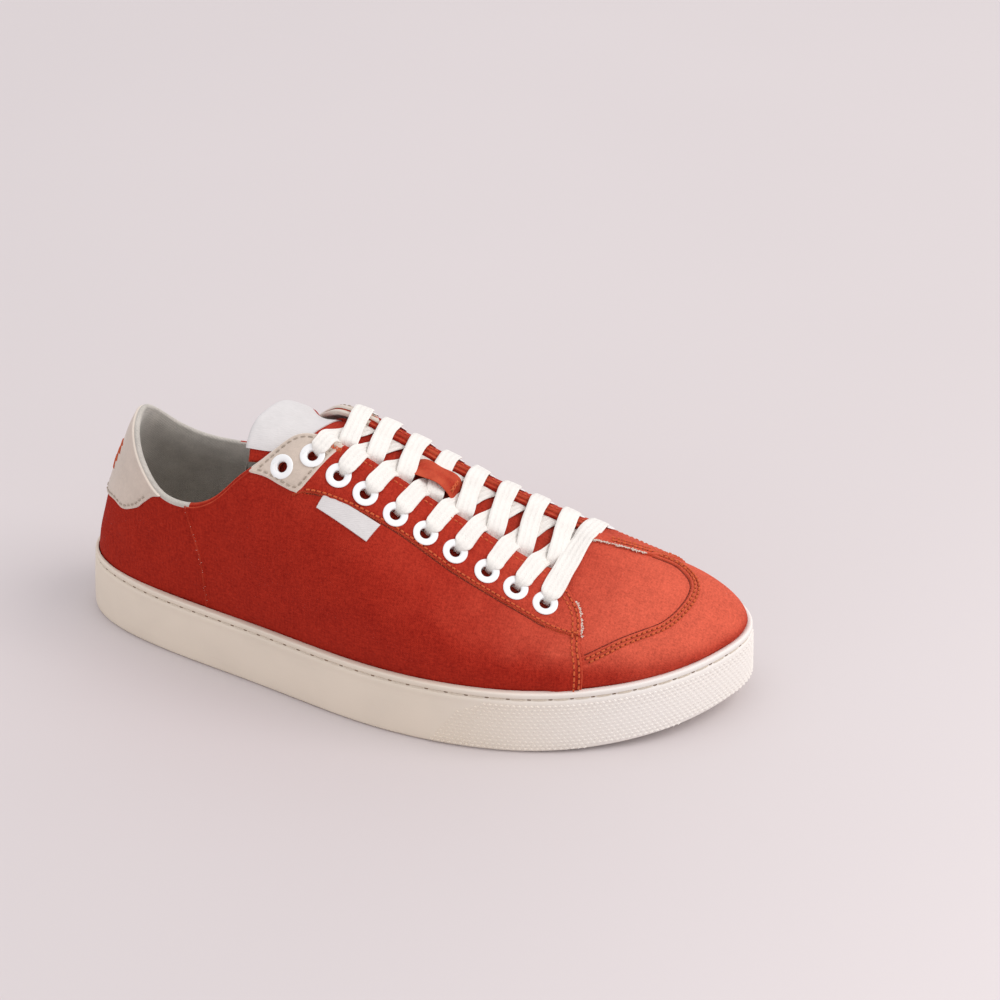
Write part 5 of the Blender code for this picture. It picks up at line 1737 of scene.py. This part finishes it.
def build_keeper():
    """Cloth loop over the sixth crossing, sewn down at its toe end."""
    x, lift = np.array(KEEPER).T * MM
    outer_t, inner_t = np.array(THROAT_PAIRS).T
    middle = across_throat(outer_t, inner_t, np.full(len(outer_t), 0.5))
    path = np.stack(read_off(-x, -middle[:, 0], *middle.T), axis=1) + THROAT_UP * lift[:, None]
    size = np.ones(len(path))
    across = np.tile([0.0, 1.0, 0.0], (len(path), 1))
    points, faces, uv = flat_band(path, across, size * KEEPER_WIDTH, size * KEEPER_THICKNESS, 60, 5)
    # The loop is worn all over, so its cloth counts as lying close to an edge and takes the paler
    # edge colour, part wear and part painted highlight.
    uv[:, 0] = np.maximum(KEEPER_WIDTH / 2 * MM - np.abs(uv[:, 0]), 0.0) * KEEPER_WEAR_AND_LIGHT
    build_piece("keeper_loop", (points, faces, uv), "canvas", nodes=["lace_keeper"], sharp=60.0)
    centre = smooth_path(path, 60)
    starts, ends = [], []
    for a, b in ((-4.2, -1.4), (-1.4, 1.4), (1.4, 4.2)):
        for i, j in ((10, 14), (14, 10)):
            starts.append(centre[i] + THROAT_UP * KEEPER_STITCH_LIFT + np.array([0, a * MM, 0]))
            ends.append(centre[j] + THROAT_UP * KEEPER_STITCH_LIFT + np.array([0, b * MM, 0]))
    shape = thread_bits(starts, ends, np.tile(THROAT_UP, (len(starts), 1)), 0.36 * MM)
    build_piece("keeper_stitches", shape, "rust thread")


# Stage -----------------------------------------------------------------
CAMERA_PLACE = (0.27319, -0.70771, 0.57993)
CAMERA_RIGHT = (0.9512, 0.3087, 0.0)
CAMERA_BACK = (0.2574, -0.7933, 0.5518)
CAMERA_ROLL = math.radians(-0.33)
FLOOR_REACH = 6.0
LIGHT_AIM = Vector((0.0, 0.0, 0.04))


def area_light(name, place, width, height, power, colour):
    data = bpy.data.lights.new(name, "AREA")
    data.shape = "RECTANGLE"
    data.size, data.size_y = width, height
    data.energy = power
    data.color = colour
    lamp = linked(name, data)
    lamp.location = place
    lamp.rotation_mode = "QUATERNION"
    lamp.rotation_quaternion = (LIGHT_AIM - Vector(place)).to_track_quat("-Z", "Y")


def build_stage(stage):
    r = FLOOR_REACH
    mesh = solid_mesh("floor", [(-r, -r, 0), (r, -r, 0), (r, r, 0), (-r, r, 0)], [(0, 1, 2, 3)])
    mesh.materials.append(floor_finish(stage.floor))
    floor = linked("floor", mesh)
    floor.location.z = -0.1 * MM

    world = bpy.data.worlds.new("studio")
    world.use_nodes = True
    back = world.node_tree.nodes["Background"]
    back.inputs["Color"].default_value = (0.97, 0.96, 1.0, 1.0)
    back.inputs["Strength"].default_value = stage.ambient
    bpy.context.scene.world = world
    area_light("key", (2.5, 0.35, 2.9), 2.4, 2.4, stage.key, (1.0, 0.98, 0.96))
    area_light("fill", (-0.9, -1.3, 1.2), 1.6, 1.2, stage.fill, (0.98, 0.98, 1.0))
    bpy.context.scene.view_settings.view_transform = "Standard"

    data = bpy.data.cameras.new("camera")
    data.lens = stage.lens
    data.sensor_width = 36.0
    data.dof.use_dof = False
    data.clip_start, data.clip_end = 0.05, 20.0
    camera = linked("camera", data)
    back = Vector(CAMERA_BACK)
    up = back.cross(Vector(CAMERA_RIGHT)).normalized()
    right = up.cross(back).normalized()
    x_axis = right * math.cos(CAMERA_ROLL) + up * math.sin(CAMERA_ROLL)
    y_axis = up * math.cos(CAMERA_ROLL) - right * math.sin(CAMERA_ROLL)
    camera.matrix_world = Matrix((x_axis, y_axis, back.normalized())).transposed().to_4x4()
    camera.location = CAMERA_PLACE
    bpy.context.scene.camera = camera


# Add-on ----------------------------------------------------------------
def size_property(name, description, default):
    return bpy.props.FloatProperty(name=name, description=description, default=default * MM,
                                   min=0.0, soft_max=0.02, precision=5, subtype="DISTANCE",
                                   unit="LENGTH")


def colour_property(name, description, default):
    return bpy.props.FloatVectorProperty(name=name, description=description, default=default,
                                         size=3, min=0.0, max=1.0, subtype="COLOR")


def power_property(name, description, default):
    return bpy.props.FloatProperty(name=name, description=description, default=default, min=0.0,
                                   subtype="POWER", unit="POWER")


class SneakerSizes(bpy.types.PropertyGroup):
    lace_width: size_property("Lace width", "Width of the flat lace", 7.9)
    lace_thickness: size_property("Lace thickness", "Thickness of the flat lace", 0.98)
    panel_thickness: size_property("Panel thickness", "Cloth of the quarters", 0.7)
    mudguard_thickness: size_property("Mudguard thickness", "Cloth of the mudguard", 1.2)
    stay_thickness: size_property("Eyestay thickness", "Cloth strips under the eyelets", 0.85)
    suede_thickness: size_property("Suede thickness", "Heel and eyelet patches", 1.0)
    thread_radius: size_property("Thread radius", "Half the thickness of the seam thread", 0.42)


class SneakerColours(bpy.types.PropertyGroup):
    canvas_dark: colour_property("Canvas, dark", "Deep yarn of the canvas", (0.225, 0.007, 0.004))
    canvas_light: colour_property("Canvas, light", "Pale yarn of the canvas", (0.500, 0.034, 0.016))
    # The worn colour is also a painted highlight on the top and toe, and the edge colour a painted
    # highlight on the folds as well as wear.
    canvas_worn_lit: colour_property("Canvas, worn", "Canvas over the toes", (0.800, 0.140, 0.080))
    canvas_edge_worn_lit: colour_property("Canvas, edge", "Canvas along turned edges", (0.60, 0.105, 0.050))
    lining: colour_property("Lining", "Collar lining and footbed", (0.60, 0.56, 0.50))
    suede: colour_property("Suede", "Heel and eyelet patches", (0.67, 0.555, 0.46))
    rubber: colour_property("Sole rubber", "Moulded sole", (0.79, 0.695, 0.575))
    # Painted highlight: the toe rubber is lighter and whiter.
    rubber_toe_highlight: colour_property("Sole rubber, toe", "Lighter toe rubber, a painted highlight", (0.88, 0.84, 0.80))
    enamel: colour_property("Enamel", "Eyelets", (0.88, 0.88, 0.87))
    cotton: colour_property("Cotton", "Lace", (0.90, 0.86, 0.80))
    satin: colour_property("Satin", "Labels", (0.70, 0.67, 0.655))
    rust_thread: colour_property("Rust thread", "Seams on the canvas", (0.76, 0.135, 0.040))
    tan_thread: colour_property("Tan thread", "Seams on the suede", (0.50, 0.41, 0.33))
    pale_thread: colour_property("Pale thread", "Loose yarn", (0.86, 0.76, 0.66))


class SneakerStage(bpy.types.PropertyGroup):
    # The floor also carries a painted pool of light, lighter towards the lower right of the view.
    floor: colour_property("Floor", "Plain studio floor", (0.665, 0.61, 0.605))
    ambient: bpy.props.FloatProperty(name="Ambient", description="Light from all round",
                                     default=0.88, min=0.0)
    key: power_property("Key light", "Large soft light above the toe", 66.0)
    fill: power_property("Fill light", "Weak light from the viewer's side", 1.0)
    lens: bpy.props.FloatProperty(name="Lens", description="Focal length of the camera",
                                  default=80.0, min=1.0, subtype="DISTANCE_CAMERA")


class SNEAKER_OT_stage(bpy.types.Operator):
    """Pale floor, soft studio light and the camera"""

    bl_idname = "sneaker.stage"
    bl_label = "Stage"

    def execute(self, context):
        build_stage(context.scene.sneaker_stage)
        return {"FINISHED"}


class SNEAKER_OT_sole(bpy.types.Operator):
    """Moulded cupsole with its stitched groove, toe grip and tread"""

    bl_idname = "sneaker.sole"
    bl_label = "Sole"

    def execute(self, context):
        build_sole()
        return {"FINISHED"}


class SNEAKER_OT_footbed(bpy.types.Operator):
    """Lined footbed inside the sole"""

    bl_idname = "sneaker.footbed"
    bl_label = "Footbed"

    def execute(self, context):
        build_footbed()
        return {"FINISHED"}


class SNEAKER_OT_upper(bpy.types.Operator):
    """Shell, quarters, mudguard, eyestays and suede patches, with their holes punched"""

    bl_idname = "sneaker.upper"
    bl_label = "Upper"

    def execute(self, context):
        build_panels(context.scene.sneaker_sizes)
        return {"FINISHED"}


class SNEAKER_OT_tongue(bpy.types.Operator):
    """Tongue with its bare satin label"""

    bl_idname = "sneaker.tongue"
    bl_label = "Tongue"

    def execute(self, context):
        build_tongue()
        build_tongue_label()
        return {"FINISHED"}


class SNEAKER_OT_side_label(bpy.types.Operator):
    """Bare satin label on the outer quarter"""

    bl_idname = "sneaker.side_label"
    bl_label = "Side label"

    def execute(self, context):
        build_side_label(context.scene.sneaker_sizes)
        return {"FINISHED"}


class SNEAKER_OT_eyelets(bpy.types.Operator):
    """Twenty enamelled eyelets"""

    bl_idname = "sneaker.eyelets"
    bl_label = "Eyelets"

    def execute(self, context):
        build_eyelets(context.scene.sneaker_sizes)
        return {"FINISHED"}


class SNEAKER_OT_lace(bpy.types.Operator):
    """Flat lace through the eyelets and the keeper loop over it"""

    bl_idname = "sneaker.lace"
    bl_label = "Lace and keeper"

    def execute(self, context):
        build_lace(context.scene.sneaker_sizes)
        build_keeper()
        return {"FINISHED"}


class SNEAKER_OT_stitching(bpy.types.Operator):
    """Machine seams, painted shade in creases and holes, loose yarn and welts"""

    bl_idname = "sneaker.stitching"
    bl_label = "Stitching"

    def execute(self, context):
        sizes = context.scene.sneaker_sizes
        build_painted_shade(sizes, build_canvas_seams(sizes))
        build_suede_seams(sizes)
        build_loose_yarn(sizes)
        build_welts()
        return {"FINISHED"}


GROUPS = {
    "sneaker_sizes": SneakerSizes, "sneaker_colours": SneakerColours, "sneaker_stage": SneakerStage,
}
OPERATORS = (
    SNEAKER_OT_stage, SNEAKER_OT_sole, SNEAKER_OT_footbed, SNEAKER_OT_upper, SNEAKER_OT_tongue,
    SNEAKER_OT_side_label, SNEAKER_OT_eyelets, SNEAKER_OT_lace, SNEAKER_OT_stitching,
)


class SNEAKER_PT_panel(bpy.types.Panel):
    """Lists the sizes and colours and the buttons that build the shoe"""

    bl_idname = "SNEAKER_PT_panel"
    bl_label = "Barefoot sneaker"
    bl_space_type = "VIEW_3D"
    bl_region_type = "UI"
    bl_category = "Sneaker"

    def draw(self, context):
        for group in (getattr(context.scene, name) for name in GROUPS):
            box = self.layout.box()
            for name in group.bl_rna.properties.keys():
                if name not in ("rna_type", "name"):
                    box.prop(group, name)
        for operator in OPERATORS:
            self.layout.operator(operator.bl_idname)


CLASSES = (*GROUPS.values(), *OPERATORS, SNEAKER_PT_panel)


def register():
    for cls in CLASSES:
        bpy.utils.register_class(cls)
    for name, group in GROUPS.items():
        setattr(bpy.types.Scene, name, bpy.props.PointerProperty(type=group))


def unregister():
    for name in GROUPS:
        delattr(bpy.types.Scene, name)
    for cls in reversed(CLASSES):
        bpy.utils.unregister_class(cls)


def main():
    register()
    bpy.ops.sneaker.stage()
    bpy.ops.sneaker.sole()
    bpy.ops.sneaker.footbed()
    bpy.ops.sneaker.upper()
    bpy.ops.sneaker.tongue()
    bpy.ops.sneaker.side_label()
    bpy.ops.sneaker.eyelets()
    bpy.ops.sneaker.lace()
    bpy.ops.sneaker.stitching()
    bpy.context.view_layer.update()


if __name__ == "__main__":
    main()
